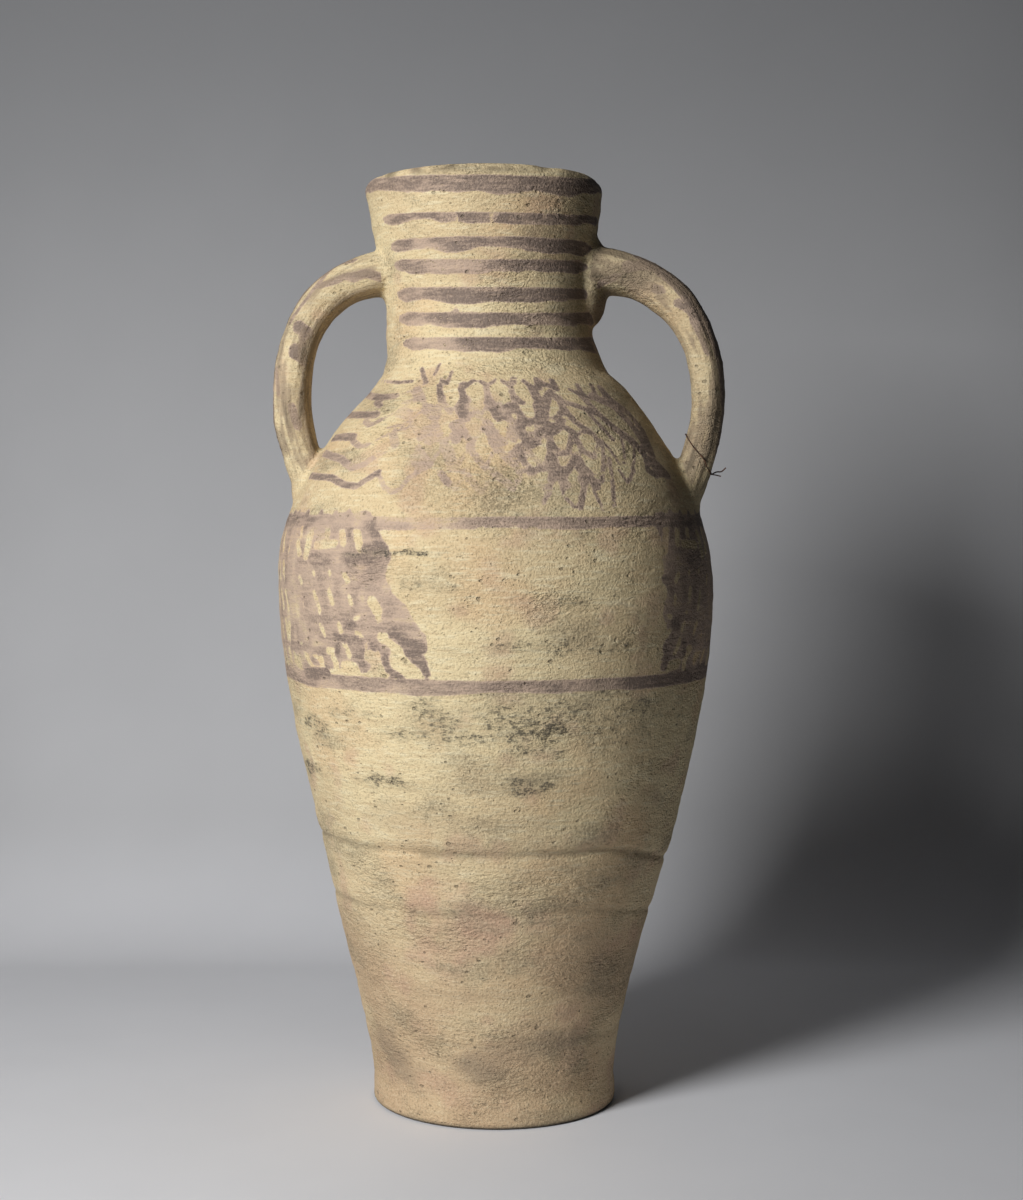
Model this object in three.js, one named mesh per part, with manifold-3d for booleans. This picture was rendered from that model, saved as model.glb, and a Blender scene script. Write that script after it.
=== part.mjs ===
// A tall two-handled storage jar of fired clay: a flat foot, an egg-shaped body, a cylindrical neck
// with a turned-out rim, and two thick handles from the neck to the shoulder.
// Millimetres, +Z up. The origin is the centre of the underside, and -Y is the jar's front.

import * as THREE from "three";
import { mergeVertices } from "three/addons/utils/BufferGeometryUtils.js";
import Module from "manifold-3d";

// Driving dimensions of the turned body.
const HEIGHT = 620;
const FOOT_RADIUS = 82.4;
const FOOT_WAIST_RADIUS = 81.2;
const FOOT_WAIST_HEIGHT = 18;
const FOOT_EDGE = 2.4;
const BELLY_RADIUS = 146.8;
const BELLY_HEIGHT = 344;
const SHOULDER_TOP_RADIUS = 76.6;
const SHOULDER_TOP_HEIGHT = 492;
const NECK_RADIUS = 69.3;
const NECK_HEIGHT = 530;
const RIM_RADIUS = 80;
const RIM_HEIGHT = 614;

// The two [radius, height] points that steer each curved stretch of the outside.
const STEERING = {
  lower: [[85.2, 77], [BELLY_RADIUS, 246]],
  shoulder: [[BELLY_RADIUS, 378], [143.6, 418.2]],
  neck: [[72.3, 502], [NECK_RADIUS, 515]],
  mouth: [[NECK_RADIUS, 562], [77.2, 592]],
};

// The wall.
const BODY_WALL = 9.5;
const NECK_WALL = 8.5;
const FLOOR_THICKNESS = 14;
const LIP_OUTER_ROUND = 4.5;
const LIP_FLAT = 3;
const LIP_INNER_ROUND = 3;
const FLOOR_CORNER = 9;
const CAVITY_ABOVE_RIM = 12;

// How finely the body is faceted.
const TURNS = 48;
const INSIDE_TURNS = 36;
const ROWS = { lower: 16, shoulder: 12, neck: 4, mouth: 6, round: 3, inside: 13 };
const FINE_ROWS = { lower: 60, shoulder: 40, neck: 12, mouth: 20 };

// The jar was built up from coils by hand, so its centre wanders to the side as it rises.
const CENTRE_WANDER = [
  [0, -0.7],
  [100, -1.5],
  [200, 1.5],
  [330, 1.0],
  [390, -0.5],
  [450, 1.0],
  [480, 3.0],
  [500, -0.5],
  [520, -3.8],
  [600, -6.6],
  [HEIGHT, -7.8],
];
const OVAL = 0.9;
const OVAL_AZIMUTH = THREE.MathUtils.degToRad(45);

// The joints between the coils: creases round the lower body, as [height, depth].
const COIL_JOINTS = [
  [56, 0.9],
  [89, 0.7],
  [144, 1.1],
  [184, 1.5],
  [224, 0.8],
];
const JOINT_HALF_WIDTH = 5;
const ROW_CLEARANCE = 4;

// The creases are level over the front and drop by this much, height by height, on the right side.
const JOINT_DROP = [
  [FOOT_WAIST_HEIGHT, 0],
  [56, -2],
  [89, -4],
  [144, -12],
  [184, -17],
  [224, -17],
  [300, 0],
];
const DROP_FROM = THREE.MathUtils.degToRad(32);
const DROP_FULL = THREE.MathUtils.degToRad(85);
const DROP_FADES = THREE.MathUtils.degToRad(110);
const DROP_ENDS = THREE.MathUtils.degToRad(170);

// The handles. An azimuth of 0 is the jar's front and 90 degrees its right side. Each root is a pad
// of clay smeared onto the wall, given as the distance and height of its centre and its half sizes.
const HANDLES = {
  left: {
    azimuth: THREE.MathUtils.degToRad(-86),
    neckHeight: 563,
    reach: 137,
    reachHeight: 474,
    shoulderRadius: 118,
    shoulderHeight: 410,
    halfThickness: 12.4,
    neckHalfThickness: 13.2,
    neckPad: { distance: 66, height: 559, out: 14, up: 21, across: 21 },
    shoulderPad: { distance: 122, height: 411, out: 15, up: 25, across: 24 },
  },
  right: {
    azimuth: THREE.MathUtils.degToRad(81),
    neckHeight: 563,
    reach: 144.4,
    reachHeight: 474,
    shoulderRadius: 124,
    shoulderHeight: 404,
    halfThickness: 11.2,
    neckHalfThickness: 13.6,
    neckPad: { distance: 66, height: 554, out: 10.5, up: 31, across: 24 },
    shoulderPad: { distance: 126, height: 406, out: 13, up: 26, across: 23 },
  },
};
const HANDLE_START = 40;
const HANDLE_START_DROP = 4.2;
const HANDLE_ARCH = { distance: 106, rise: 7 };
const HANDLE_FALL_SHARE = 0.66;
const HANDLE_FOOT = { straight: 22, slope: [12, 22] };
const HANDLE_HALF_WIDTH = 15.5;
const HANDLE_SQUARENESS = 2.5;
const NECK_FLARE = { full: 0.1, ends: 0.3, width: 6, thickness: 2.5 };
const ARCH_THINS = { from: 0.3, to: 0.55 };
const SHOULDER_FLARE = { starts: 0.84, width: 7, thickness: 1.5 };
const FINGER_GROOVE_DEPTH = 1.1;
const FINGER_GROOVES = 2;
const SECTION_SIDES = 16;
const HANDLE_STEPS = 22;
const PAD_SIDES = 14;
const SEAM_TOLERANCE = 0.02;

// The twist of thin wire round the foot of the right handle.
const WIRE_RADIUS = 0.45;
const WIRE_SIDES = 6;
const WIRE_STEPS = 96;
const WIRE_CLEARANCE = 0.55;
const WIRE_INNER_PLACE = 0.795;
const WIRE_OUTER_PLACE = 0.885;
const WIRE_TURN_POINTS = 24;
const WIRE_OPENING = THREE.MathUtils.degToRad(3);

// The wire's two free ends, as [out from the handle, up, towards the middle] at each bend.
const WIRE_SHORT_END = [[3.2, -0.6, 0.9], [6.4, -1.4, 1.2]];
const WIRE_LONG_END = [[3.4, 1.6, 0.7], [6.6, 1.8, 0.9], [9.6, 4.4, 0.6]];

const CLAY = new THREE.MeshStandardMaterial({ color: 0xcdb98a, roughness: 0.88, metalness: 0 });
const DARK_WIRE = new THREE.MeshStandardMaterial({ color: 0x2b2622, roughness: 0.6, metalness: 0.5 });

const wasm = await Module();
wasm.setup();

// Smooth step from 0 at a to 1 at b.
function smooth(a, b, x) {
  return THREE.MathUtils.smoothstep(x, a, b);
}

// The value at x on straight lines through a list of [x, value] pairs, eased between them.
function along(stations, x) {
  if (x <= stations[0][0]) return stations[0][1];
  for (let i = 1; i < stations.length; i += 1) {
    const [x0, v0] = stations[i - 1];
    const [x1, v1] = stations[i];
    if (x <= x1) return THREE.MathUtils.lerp(v0, v1, smooth(x0, x1, x));
  }
  return stations[stations.length - 1][1];
}

// A curved stretch of the turned outside, from one [radius, height] pair to another.
function stretch(start, steering, end) {
  const points = [start, ...steering, end].map(([radius, height]) => new THREE.Vector2(radius, height));
  return new THREE.CubicBezierCurve(...points);
}

// The outside of the wall from the foot's waist to the rim, as four stretches.
const waist = [FOOT_WAIST_RADIUS, FOOT_WAIST_HEIGHT];
const belly = [BELLY_RADIUS, BELLY_HEIGHT];
const shoulderTop = [SHOULDER_TOP_RADIUS, SHOULDER_TOP_HEIGHT];
const neck = [NECK_RADIUS, NECK_HEIGHT];
const rim = [RIM_RADIUS, RIM_HEIGHT];
const WALL = {
  lower: stretch(waist, STEERING.lower, belly),
  shoulder: stretch(belly, STEERING.shoulder, shoulderTop),
  neck: stretch(shoulderTop, STEERING.neck, neck),
  mouth: stretch(neck, STEERING.mouth, rim),
};

// The wall's [radius, height] points, with the given number of rows in each stretch.
function wallPoints(rows) {
  const points = [WALL.lower.getPoint(0)];
  for (const name of Object.keys(WALL)) points.push(...WALL[name].getSpacedPoints(rows[name]).slice(1));
  return points;
}

const FINE_WALL = wallPoints(FINE_ROWS);

// The wall's outer radius at a height.
function wallRadius(height) {
  const above = FINE_WALL.findIndex((p) => p.y >= height);
  if (above < 1) return above === 0 ? FINE_WALL[0].x : RIM_RADIUS;
  const [lower, upper] = [FINE_WALL[above - 1], FINE_WALL[above]];
  return THREE.MathUtils.lerp(lower.x, upper.x, (height - lower.y) / (upper.y - lower.y));
}

// The wall's thickness at a height.
function wallThickness(height) {
  return THREE.MathUtils.lerp(BODY_WALL, NECK_WALL, smooth(BELLY_HEIGHT, NECK_HEIGHT, height));
}

// The rows of the outside wall: the spaced rows, with rows at the middle and edges of each coil joint.
function outsideWall() {
  const half = JOINT_HALF_WIDTH;
  const joints = COIL_JOINTS.flatMap(([height]) => [height - half, height, height + half]);
  const spaced = wallPoints(ROWS).map((p) => p.y);
  const clear = spaced.filter((y) => joints.every((joint) => Math.abs(joint - y) > ROW_CLEARANCE));
  return [...clear, ...joints].sort((a, b) => a - b).map((y) => new THREE.Vector2(wallRadius(y), y));
}

// The solid jar before its inside is taken out: foot, wall, outer half of the lip, flat top.
function outsideProfile() {
  const foot = [
    new THREE.Vector2(0, 0),
    new THREE.Vector2(FOOT_RADIUS - FOOT_EDGE, 0),
    new THREE.Vector2(FOOT_RADIUS - FOOT_EDGE * 0.3, FOOT_EDGE * 0.35),
    new THREE.Vector2(FOOT_RADIUS, FOOT_EDGE),
    new THREE.Vector2(FOOT_RADIUS - 0.3, FOOT_WAIST_HEIGHT * 0.55),
  ];
  const lip = [];
  for (let i = 1; i <= ROWS.round; i += 1) {
    const a = (i / ROWS.round) * (Math.PI / 2);
    const inwards = LIP_OUTER_ROUND * (1 - Math.cos(a));
    lip.push(new THREE.Vector2(RIM_RADIUS - inwards, RIM_HEIGHT + (HEIGHT - RIM_HEIGHT) * Math.sin(a)));
  }
  return [...foot, ...outsideWall(), ...lip, new THREE.Vector2(0, HEIGHT)];
}

// The inside of the jar: the wall's outside moved in by the wall's thickness, down to the floor.
function insideProfile() {
  const rows = [];
  const top = RIM_HEIGHT - LIP_INNER_ROUND * 2;
  const floorRadius = FOOT_WAIST_RADIUS - BODY_WALL;
  const cornerTop = FLOOR_THICKNESS + FLOOR_CORNER;
  const bevel = FLOOR_CORNER * 0.28;
  for (let i = 1; i <= ROWS.inside; i += 1) {
    const height = THREE.MathUtils.lerp(cornerTop, top, i / ROWS.inside);
    const slope = (wallRadius(height + 1) - wallRadius(height - 1)) / 2;
    const level = wallThickness(height) * Math.hypot(1, slope);
    rows.push(new THREE.Vector2(wallRadius(height) - level, height));
  }
  const crest = RIM_RADIUS - LIP_OUTER_ROUND - LIP_FLAT;
  return [
    new THREE.Vector2(0, FLOOR_THICKNESS),
    new THREE.Vector2(floorRadius - FLOOR_CORNER, FLOOR_THICKNESS),
    new THREE.Vector2(floorRadius - bevel, FLOOR_THICKNESS + bevel),
    new THREE.Vector2(floorRadius, cornerTop),
    ...rows,
    new THREE.Vector2(crest - LIP_INNER_ROUND * 0.65, HEIGHT - LIP_INNER_ROUND * 0.45),
    new THREE.Vector2(crest, HEIGHT),
    new THREE.Vector2(crest, HEIGHT + CAVITY_ABOVE_RIM),
    new THREE.Vector2(0, HEIGHT + CAVITY_ABOVE_RIM),
  ];
}

// How far a point of the lower wall is lowered with the creases, and how far a crease cuts in there.
function coilJoints(height, azimuth) {
  const side = smooth(DROP_FROM, DROP_FULL, azimuth) * (1 - smooth(DROP_FADES, DROP_ENDS, azimuth));
  const drop = along(JOINT_DROP, height) * side;
  const cut = COIL_JOINTS.reduce((deepest, [joint, depth]) => {
    return Math.max(deepest, depth * (1 - Math.abs(height - joint) / JOINT_HALF_WIDTH));
  }, 0);
  return { drop, cut };
}

// Moves the vertices of a turned shape off true, as the hand-built jar is.
function handBuilt(geometry, withJoints) {
  const position = geometry.getAttribute("position");
  const v = new THREE.Vector3();
  for (let i = 0; i < position.count; i += 1) {
    v.fromBufferAttribute(position, i);
    const azimuth = Math.atan2(v.x, -v.y);
    let radius = Math.hypot(v.x, v.y);
    let height = v.z;
    if (withJoints && v.z > FOOT_WAIST_HEIGHT && v.z < BELLY_HEIGHT && radius > 0) {
      const { drop, cut } = coilJoints(v.z, azimuth);
      height += drop;
      radius = wallRadius(height) - cut;
    }
    radius += OVAL * Math.cos(2 * (azimuth - OVAL_AZIMUTH)) * Math.min(1, radius / NECK_RADIUS);
    const x = radius * Math.sin(azimuth) + along(CENTRE_WANDER, height);
    position.setXYZ(i, x, -radius * Math.cos(azimuth), height);
  }
  return geometry;
}

// Turns a [radius, height] profile about the jar's axis and makes it look hand-built.
function turned(profile, turns, withJoints) {
  const geometry = new THREE.LatheGeometry(profile, turns);
  geometry.rotateX(Math.PI / 2);
  return handBuilt(geometry, withJoints);
}

// A closed three.js geometry as a manifold solid.
function solidOf(geometry) {
  const bare = (geometry.index ? geometry.toNonIndexed() : geometry).clone();
  bare.deleteAttribute("normal");
  bare.deleteAttribute("uv");
  const merged = mergeVertices(bare, 1e-3);
  return new wasm.Manifold(
    new wasm.Mesh({
      numProp: 3,
      vertProperties: new Float32Array(merged.getAttribute("position").array),
      triVerts: new Uint32Array(merged.index.array),
    }),
  );
}

// A manifold solid as a three.js geometry with flat faces.
function geometryOf(solid) {
  const mesh = solid.getMesh();
  const positions = new Float32Array(mesh.numVert * 3);
  for (let i = 0; i < mesh.numVert; i += 1) {
    positions.set(mesh.vertProperties.subarray(i * mesh.numProp, i * mesh.numProp + 3), i * 3);
  }
  const geometry = new THREE.BufferGeometry();
  geometry.setAttribute("position", new THREE.BufferAttribute(positions, 3));
  geometry.setIndex(new THREE.BufferAttribute(new Uint32Array(mesh.triVerts), 1));
  geometry.computeVertexNormals();
  return geometry;
}

// The handle's centre line in its own plane, as points of [distance from the axis, height].
function handleLine(handle) {
  const { neckHeight, reach, reachHeight, shoulderRadius, shoulderHeight } = handle;
  const fallHeight = THREE.MathUtils.lerp(reachHeight, neckHeight, HANDLE_FALL_SHARE);
  const start = new THREE.Vector3(HANDLE_START, neckHeight - HANDLE_START_DROP, 0);
  const arch = new THREE.Vector3(HANDLE_ARCH.distance, neckHeight + HANDLE_ARCH.rise, 0);
  const fall = new THREE.Vector3(reach, fallHeight, 0);
  const furthest = new THREE.Vector3(reach, reachHeight, 0);
  const below = new THREE.Vector3(reach, reachHeight - HANDLE_FOOT.straight, 0);
  const foot = new THREE.Vector3(shoulderRadius, shoulderHeight, 0);
  const aboveFoot = foot.clone().add(new THREE.Vector3(...HANDLE_FOOT.slope, 0));
  const line = new THREE.CurvePath();
  line.add(new THREE.CubicBezierCurve3(start, arch, fall, furthest));
  line.add(new THREE.CubicBezierCurve3(furthest, below, aboveFoot, foot));
  return line;
}

// The handle's half sizes at a place from 0, inside the neck, to 1, at the shoulder.
function handleSize(handle, place) {
  const atNeck = 1 - smooth(NECK_FLARE.full, NECK_FLARE.ends, place);
  const atShoulder = smooth(SHOULDER_FLARE.starts, 1, place);
  const arch = 1 - smooth(ARCH_THINS.from, ARCH_THINS.to, place);
  const thickness = THREE.MathUtils.lerp(handle.halfThickness, handle.neckHalfThickness, arch);
  return {
    width: HANDLE_HALF_WIDTH + NECK_FLARE.width * atNeck + SHOULDER_FLARE.width * atShoulder,
    thickness: thickness + NECK_FLARE.thickness * atNeck + SHOULDER_FLARE.thickness * atShoulder,
  };
}

// A point of the handle's section at a turn in radians: x away from the grip, y across the handle.
function sectionPoint(turn) {
  const c = Math.cos(turn);
  const s = Math.sin(turn);
  const power = 2 / HANDLE_SQUARENESS;
  return new THREE.Vector2(Math.sign(c) * Math.abs(c) ** power, Math.sign(s) * Math.abs(s) ** power);
}

// A place on the handle's skin, or grown clear of it, in the jar's frame. The back has grooves.
function onHandle(handle, line, place, across, grown) {
  const at = line.getPointAt(place);
  const forward = line.getTangentAt(place);
  const size = handleSize(handle, place);
  const spine = new THREE.Vector2(-forward.y, forward.x);
  const wave = Math.sin(Math.PI * FINGER_GROOVES * across.y) ** 2;
  const groove = Math.max(0, across.x) * FINGER_GROOVE_DEPTH * wave;
  const out = across.x * (size.thickness + grown) - groove;
  const distance = at.x + spine.x * out;
  const height = at.y + spine.y * out;
  const sideways = -across.y * (size.width + grown);
  const { azimuth } = handle;
  return new THREE.Vector3(
    distance * Math.sin(azimuth) + sideways * Math.cos(azimuth),
    -distance * Math.cos(azimuth) + sideways * Math.sin(azimuth),
    height,
  );
}

// One handle: a straight bar of the rounded section, bent along the centre line and flared at its ends.
function handleBar(handle) {
  const section = new THREE.Shape();
  for (let i = 0; i < SECTION_SIDES; i += 1) {
    const p = sectionPoint((i / SECTION_SIDES) * 2 * Math.PI);
    if (i === 0) section.moveTo(p.x, p.y);
    else section.lineTo(p.x, p.y);
  }
  section.closePath();
  const bar = new THREE.ExtrudeGeometry(section, { depth: 1, steps: HANDLE_STEPS, bevelEnabled: false });
  const line = handleLine(handle);
  const position = bar.getAttribute("position");
  for (let i = 0; i < position.count; i += 1) {
    const across = new THREE.Vector2(position.getX(i), position.getY(i));
    const place = THREE.MathUtils.clamp(position.getZ(i), 0, 1);
    const p = onHandle(handle, line, place, across, 0);
    position.setXYZ(i, p.x, p.y, p.z);
  }
  return bar;
}

// A pad of clay smeared over the joint of a handle and the wall.
function rootPad(handle, pad) {
  const geometry = new THREE.SphereGeometry(1, PAD_SIDES, PAD_SIDES / 2);
  geometry.rotateX(Math.PI / 2);
  geometry.scale(pad.across, pad.out, pad.up);
  geometry.translate(0, -pad.distance, pad.height);
  geometry.rotateZ(handle.azimuth);
  return geometry;
}

// The whole jar is one piece of clay: body and handles joined, then hollowed.
function jar() {
  const outside = solidOf(turned(outsideProfile(), TURNS, true));
  const inside = solidOf(turned(insideProfile(), INSIDE_TURNS, false));
  const joined = Object.values(HANDLES).flatMap((handle) => [
    handleBar(handle),
    rootPad(handle, handle.neckPad),
    rootPad(handle, handle.shoulderPad),
  ]);
  const clay = joined.reduce((whole, piece) => whole.add(solidOf(piece)), outside);
  const mesh = new THREE.Mesh(geometryOf(clay.subtract(inside).simplify(SEAM_TOLERANCE)), CLAY);
  mesh.name = "jar";
  return mesh;
}

// The wire's route: slantwise round the handle's foot, higher on the grip side, with two cut ends.
function wireRoute() {
  const handle = HANDLES.right;
  const line = handleLine(handle);
  const grown = WIRE_RADIUS + WIRE_CLEARANCE;
  const loop = [];
  for (let i = 0; i <= WIRE_TURN_POINTS; i += 1) {
    const turn = THREE.MathUtils.lerp(WIRE_OPENING, 2 * Math.PI - WIRE_OPENING, i / WIRE_TURN_POINTS);
    const share = (1 - Math.cos(turn)) / 2;
    const place = THREE.MathUtils.lerp(WIRE_OUTER_PLACE, WIRE_INNER_PLACE, share);
    loop.push(onHandle(handle, line, place, sectionPoint(turn), grown));
  }
  const outwards = new THREE.Vector3(Math.sin(handle.azimuth), -Math.cos(handle.azimuth), 0);
  const upwards = new THREE.Vector3(0, 0, 1);
  const [first, last] = [loop[0], loop[loop.length - 1]];
  const middle = last.clone().sub(first).normalize();
  const end = (from, bends, side) => bends.map(([out, up, across]) => {
    return from
      .clone()
      .addScaledVector(outwards, out)
      .addScaledVector(upwards, up)
      .addScaledVector(middle, across * side);
  });
  return [...end(first, WIRE_SHORT_END, 1).reverse(), ...loop, ...end(last, WIRE_LONG_END, -1)];
}

// The wire as a thin tube along its route.
function wire() {
  const route = new THREE.CatmullRomCurve3(wireRoute());
  const ring = new THREE.Shape().absarc(0, 0, WIRE_RADIUS, 0, 2 * Math.PI);
  const outline = new THREE.Shape(ring.getSpacedPoints(WIRE_SIDES));
  const geometry = new THREE.ExtrudeGeometry(outline, {
    steps: WIRE_STEPS,
    extrudePath: route,
    bevelEnabled: false,
  });
  const mesh = new THREE.Mesh(geometry, DARK_WIRE);
  mesh.name = "tie_wire";
  return mesh;
}

const storageJar = new THREE.Group();
storageJar.add(jar(), wire());

export default storageJar;
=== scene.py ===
"""A tall two-handled storage jar of fired clay, painted with bands and a net, on a pale sweep.

Metres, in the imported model's own frame: +Z up, -Y the jar's front, the origin under its foot.
"""

import json
import logging
import math
from dataclasses import dataclass, field
from enum import Enum

import bpy
import numpy as np
from mathutils import Matrix, Vector


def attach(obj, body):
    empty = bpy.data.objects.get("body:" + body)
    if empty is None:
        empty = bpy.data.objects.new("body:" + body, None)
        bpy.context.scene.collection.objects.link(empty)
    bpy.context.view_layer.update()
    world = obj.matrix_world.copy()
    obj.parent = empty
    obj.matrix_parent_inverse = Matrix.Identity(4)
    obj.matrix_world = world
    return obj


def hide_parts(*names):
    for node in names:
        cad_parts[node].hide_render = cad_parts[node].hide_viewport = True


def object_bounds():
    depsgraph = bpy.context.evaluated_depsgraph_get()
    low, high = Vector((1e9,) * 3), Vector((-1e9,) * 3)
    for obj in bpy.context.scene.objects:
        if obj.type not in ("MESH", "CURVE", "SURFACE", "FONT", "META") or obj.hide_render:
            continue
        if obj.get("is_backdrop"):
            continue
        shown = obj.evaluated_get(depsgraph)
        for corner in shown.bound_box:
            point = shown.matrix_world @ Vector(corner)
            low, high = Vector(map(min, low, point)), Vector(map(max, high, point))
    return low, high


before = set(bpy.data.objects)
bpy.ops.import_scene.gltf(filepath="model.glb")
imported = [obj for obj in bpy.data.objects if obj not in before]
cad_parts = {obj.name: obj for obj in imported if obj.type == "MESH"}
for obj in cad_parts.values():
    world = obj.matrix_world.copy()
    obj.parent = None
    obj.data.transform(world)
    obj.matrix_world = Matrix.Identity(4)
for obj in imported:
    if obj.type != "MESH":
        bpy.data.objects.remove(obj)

LOG = logging.getLogger("storage_jar")
MM = 0.001


class Side(Enum):
    """Which side of the jar a handle stands on, seen from the front."""

    LEFT = "left"
    RIGHT = "right"


class Blend(Enum):
    """How two solids are brought together."""

    JOIN = "UNION"
    CUT = "DIFFERENCE"


def eased(low: float, high: float, value: np.ndarray) -> np.ndarray:
    """Smooth step of a value.

    Args:
        low: Where the step starts, at 0.
        high: Where it ends, at 1. It may be below low, and then the step falls.
        value: The values.

    Returns:
        The step's height at each value, from 0 to 1.
    """
    share = np.clip((np.asarray(value, float) - low) / (high - low), 0.0, 1.0)
    return share * share * (3.0 - 2.0 * share)


def stations(pairs: tuple[tuple[float, float], ...], at: np.ndarray) -> np.ndarray:
    """A quantity given at a few stations and eased between them.

    Args:
        pairs: (place, value) at each station, in rising order.
        at: The places to read.

    Returns:
        The value at each place.
    """
    at = np.asarray(at, float)
    out = np.full(at.shape, pairs[0][1], float)
    for (from_place, from_value), (to_place, to_value) in zip(pairs, pairs[1:]):
        share = eased(from_place, to_place, at)
        out = np.where(at >= from_place, from_value + (to_value - from_value) * share, out)
    return out


def bezier(steers: tuple[tuple[float, float], ...], count: int) -> np.ndarray:
    """Points evenly spaced along a cubic curve.

    Args:
        steers: Its two ends and the two points that steer it between them.
        count: How many steps the curve is cut into.

    Returns:
        count + 1 points, one a row.
    """
    t = np.linspace(0.0, 1.0, 400)[:, None]
    a, b, c, d = (np.array(p, float) for p in steers)
    fine = a * (1 - t) ** 3 + 3 * b * t * (1 - t) ** 2 + 3 * c * t * t * (1 - t) + d * t ** 3
    return respaced(fine, count)


def respaced(line: np.ndarray, count: int) -> np.ndarray:
    """The points of a line, evenly spaced along it.

    Args:
        line: The points, one a row.
        count: How many steps it is cut into.

    Returns:
        count + 1 points.
    """
    reach = np.concatenate([[0.0], np.cumsum(np.linalg.norm(np.diff(line, axis=0), axis=1))])
    wanted = np.linspace(0.0, reach[-1], count + 1)
    return np.stack([np.interp(wanted, reach, line[:, i]) for i in range(line.shape[1])], axis=1)


def deselect() -> None:
    """Leaves nothing selected, in object mode."""
    if bpy.context.object is not None and bpy.context.object.mode != "OBJECT":
        bpy.ops.object.mode_set(mode="OBJECT")
    bpy.ops.object.select_all(action="DESELECT")


def take(piece: bpy.types.Object) -> bpy.types.Object:
    """Makes a piece the only selected and active one.

    Args:
        piece: The piece.

    Returns:
        The same piece.
    """
    deselect()
    piece.select_set(True)
    bpy.context.view_layer.objects.active = piece
    return piece


def faced_out(piece: bpy.types.Object) -> None:
    """Turns every face of a closed piece outwards."""
    take(piece)
    bpy.ops.object.mode_set(mode="EDIT")
    bpy.ops.mesh.select_all(action="SELECT")
    bpy.ops.mesh.normals_make_consistent(inside=False)
    bpy.ops.object.mode_set(mode="OBJECT")


def points_of(piece: bpy.types.Object) -> np.ndarray:
    """The places of a mesh's vertices.

    Args:
        piece: A mesh piece.

    Returns:
        Its vertices in metres, one a row.
    """
    found = np.empty(len(piece.data.vertices) * 3)
    piece.data.vertices.foreach_get("co", found)
    return found.reshape(-1, 3)


def put_points(piece: bpy.types.Object, places: np.ndarray) -> None:
    """Moves a mesh's vertices.

    Args:
        piece: A mesh piece.
        places: The new places in metres, one a row.
    """
    piece.data.vertices.foreach_set("co", np.ascontiguousarray(places, dtype=np.float32).ravel())
    piece.data.update()


def applied(piece: bpy.types.Object, kind: str, **settings: object) -> bpy.types.Object:
    """Adds a modifier to a piece and applies it.

    Args:
        piece: The piece.
        kind: The modifier's type.
        **settings: The modifier's settings.

    Returns:
        The same piece, with its mesh changed.
    """
    take(piece)
    modifier = piece.modifiers.new(kind.title(), kind)
    for name, value in settings.items():
        setattr(modifier, name, value)
    bpy.ops.object.modifier_apply(modifier=modifier.name)
    return piece


def combined(piece: bpy.types.Object, other: bpy.types.Object, how: Blend) -> bpy.types.Object:
    """Adds one closed solid to another or cuts it out, and removes the second.

    Args:
        piece: The solid that stays.
        other: The solid that is used up.
        how: Whether it is joined or cut.

    Returns:
        The first solid.
    """
    applied(piece, "BOOLEAN", operation=how.value, object=other, solver="MANIFOLD")
    bpy.data.objects.remove(other)
    return piece


def spun(name: str, outline: np.ndarray, turns: int) -> bpy.types.Object:
    """Turns an outline about the jar's axis, as a lathe does.

    Args:
        name: The piece's name.
        outline: (radius, height) points in mm, with both ends on the axis.
        turns: How many steps the circle is cut into.

    Returns:
        The closed solid, with its faces outwards.
    """
    deselect()
    bpy.ops.curve.primitive_bezier_curve_add(location=(0.0, 0.0, 0.0))
    piece = bpy.context.object
    spline = piece.data.splines[0]
    spline.resolution_u = 1
    spline.bezier_points.add(len(outline) - 2)
    for point, (radius, height) in zip(spline.bezier_points, outline):
        point.handle_left_type = point.handle_right_type = "VECTOR"
        point.co = (radius * MM, 0.0, height * MM)
    bpy.ops.object.convert(target="MESH")
    bpy.ops.object.mode_set(mode="EDIT")
    bpy.ops.mesh.select_all(action="SELECT")
    bpy.ops.mesh.spin(steps=turns, angle=2 * math.pi, center=(0, 0, 0), axis=(0, 0, 1))
    bpy.ops.mesh.select_all(action="SELECT")
    bpy.ops.mesh.remove_doubles(threshold=1e-5)
    bpy.ops.object.mode_set(mode="OBJECT")
    faced_out(piece)
    piece.name = name
    return piece


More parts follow.
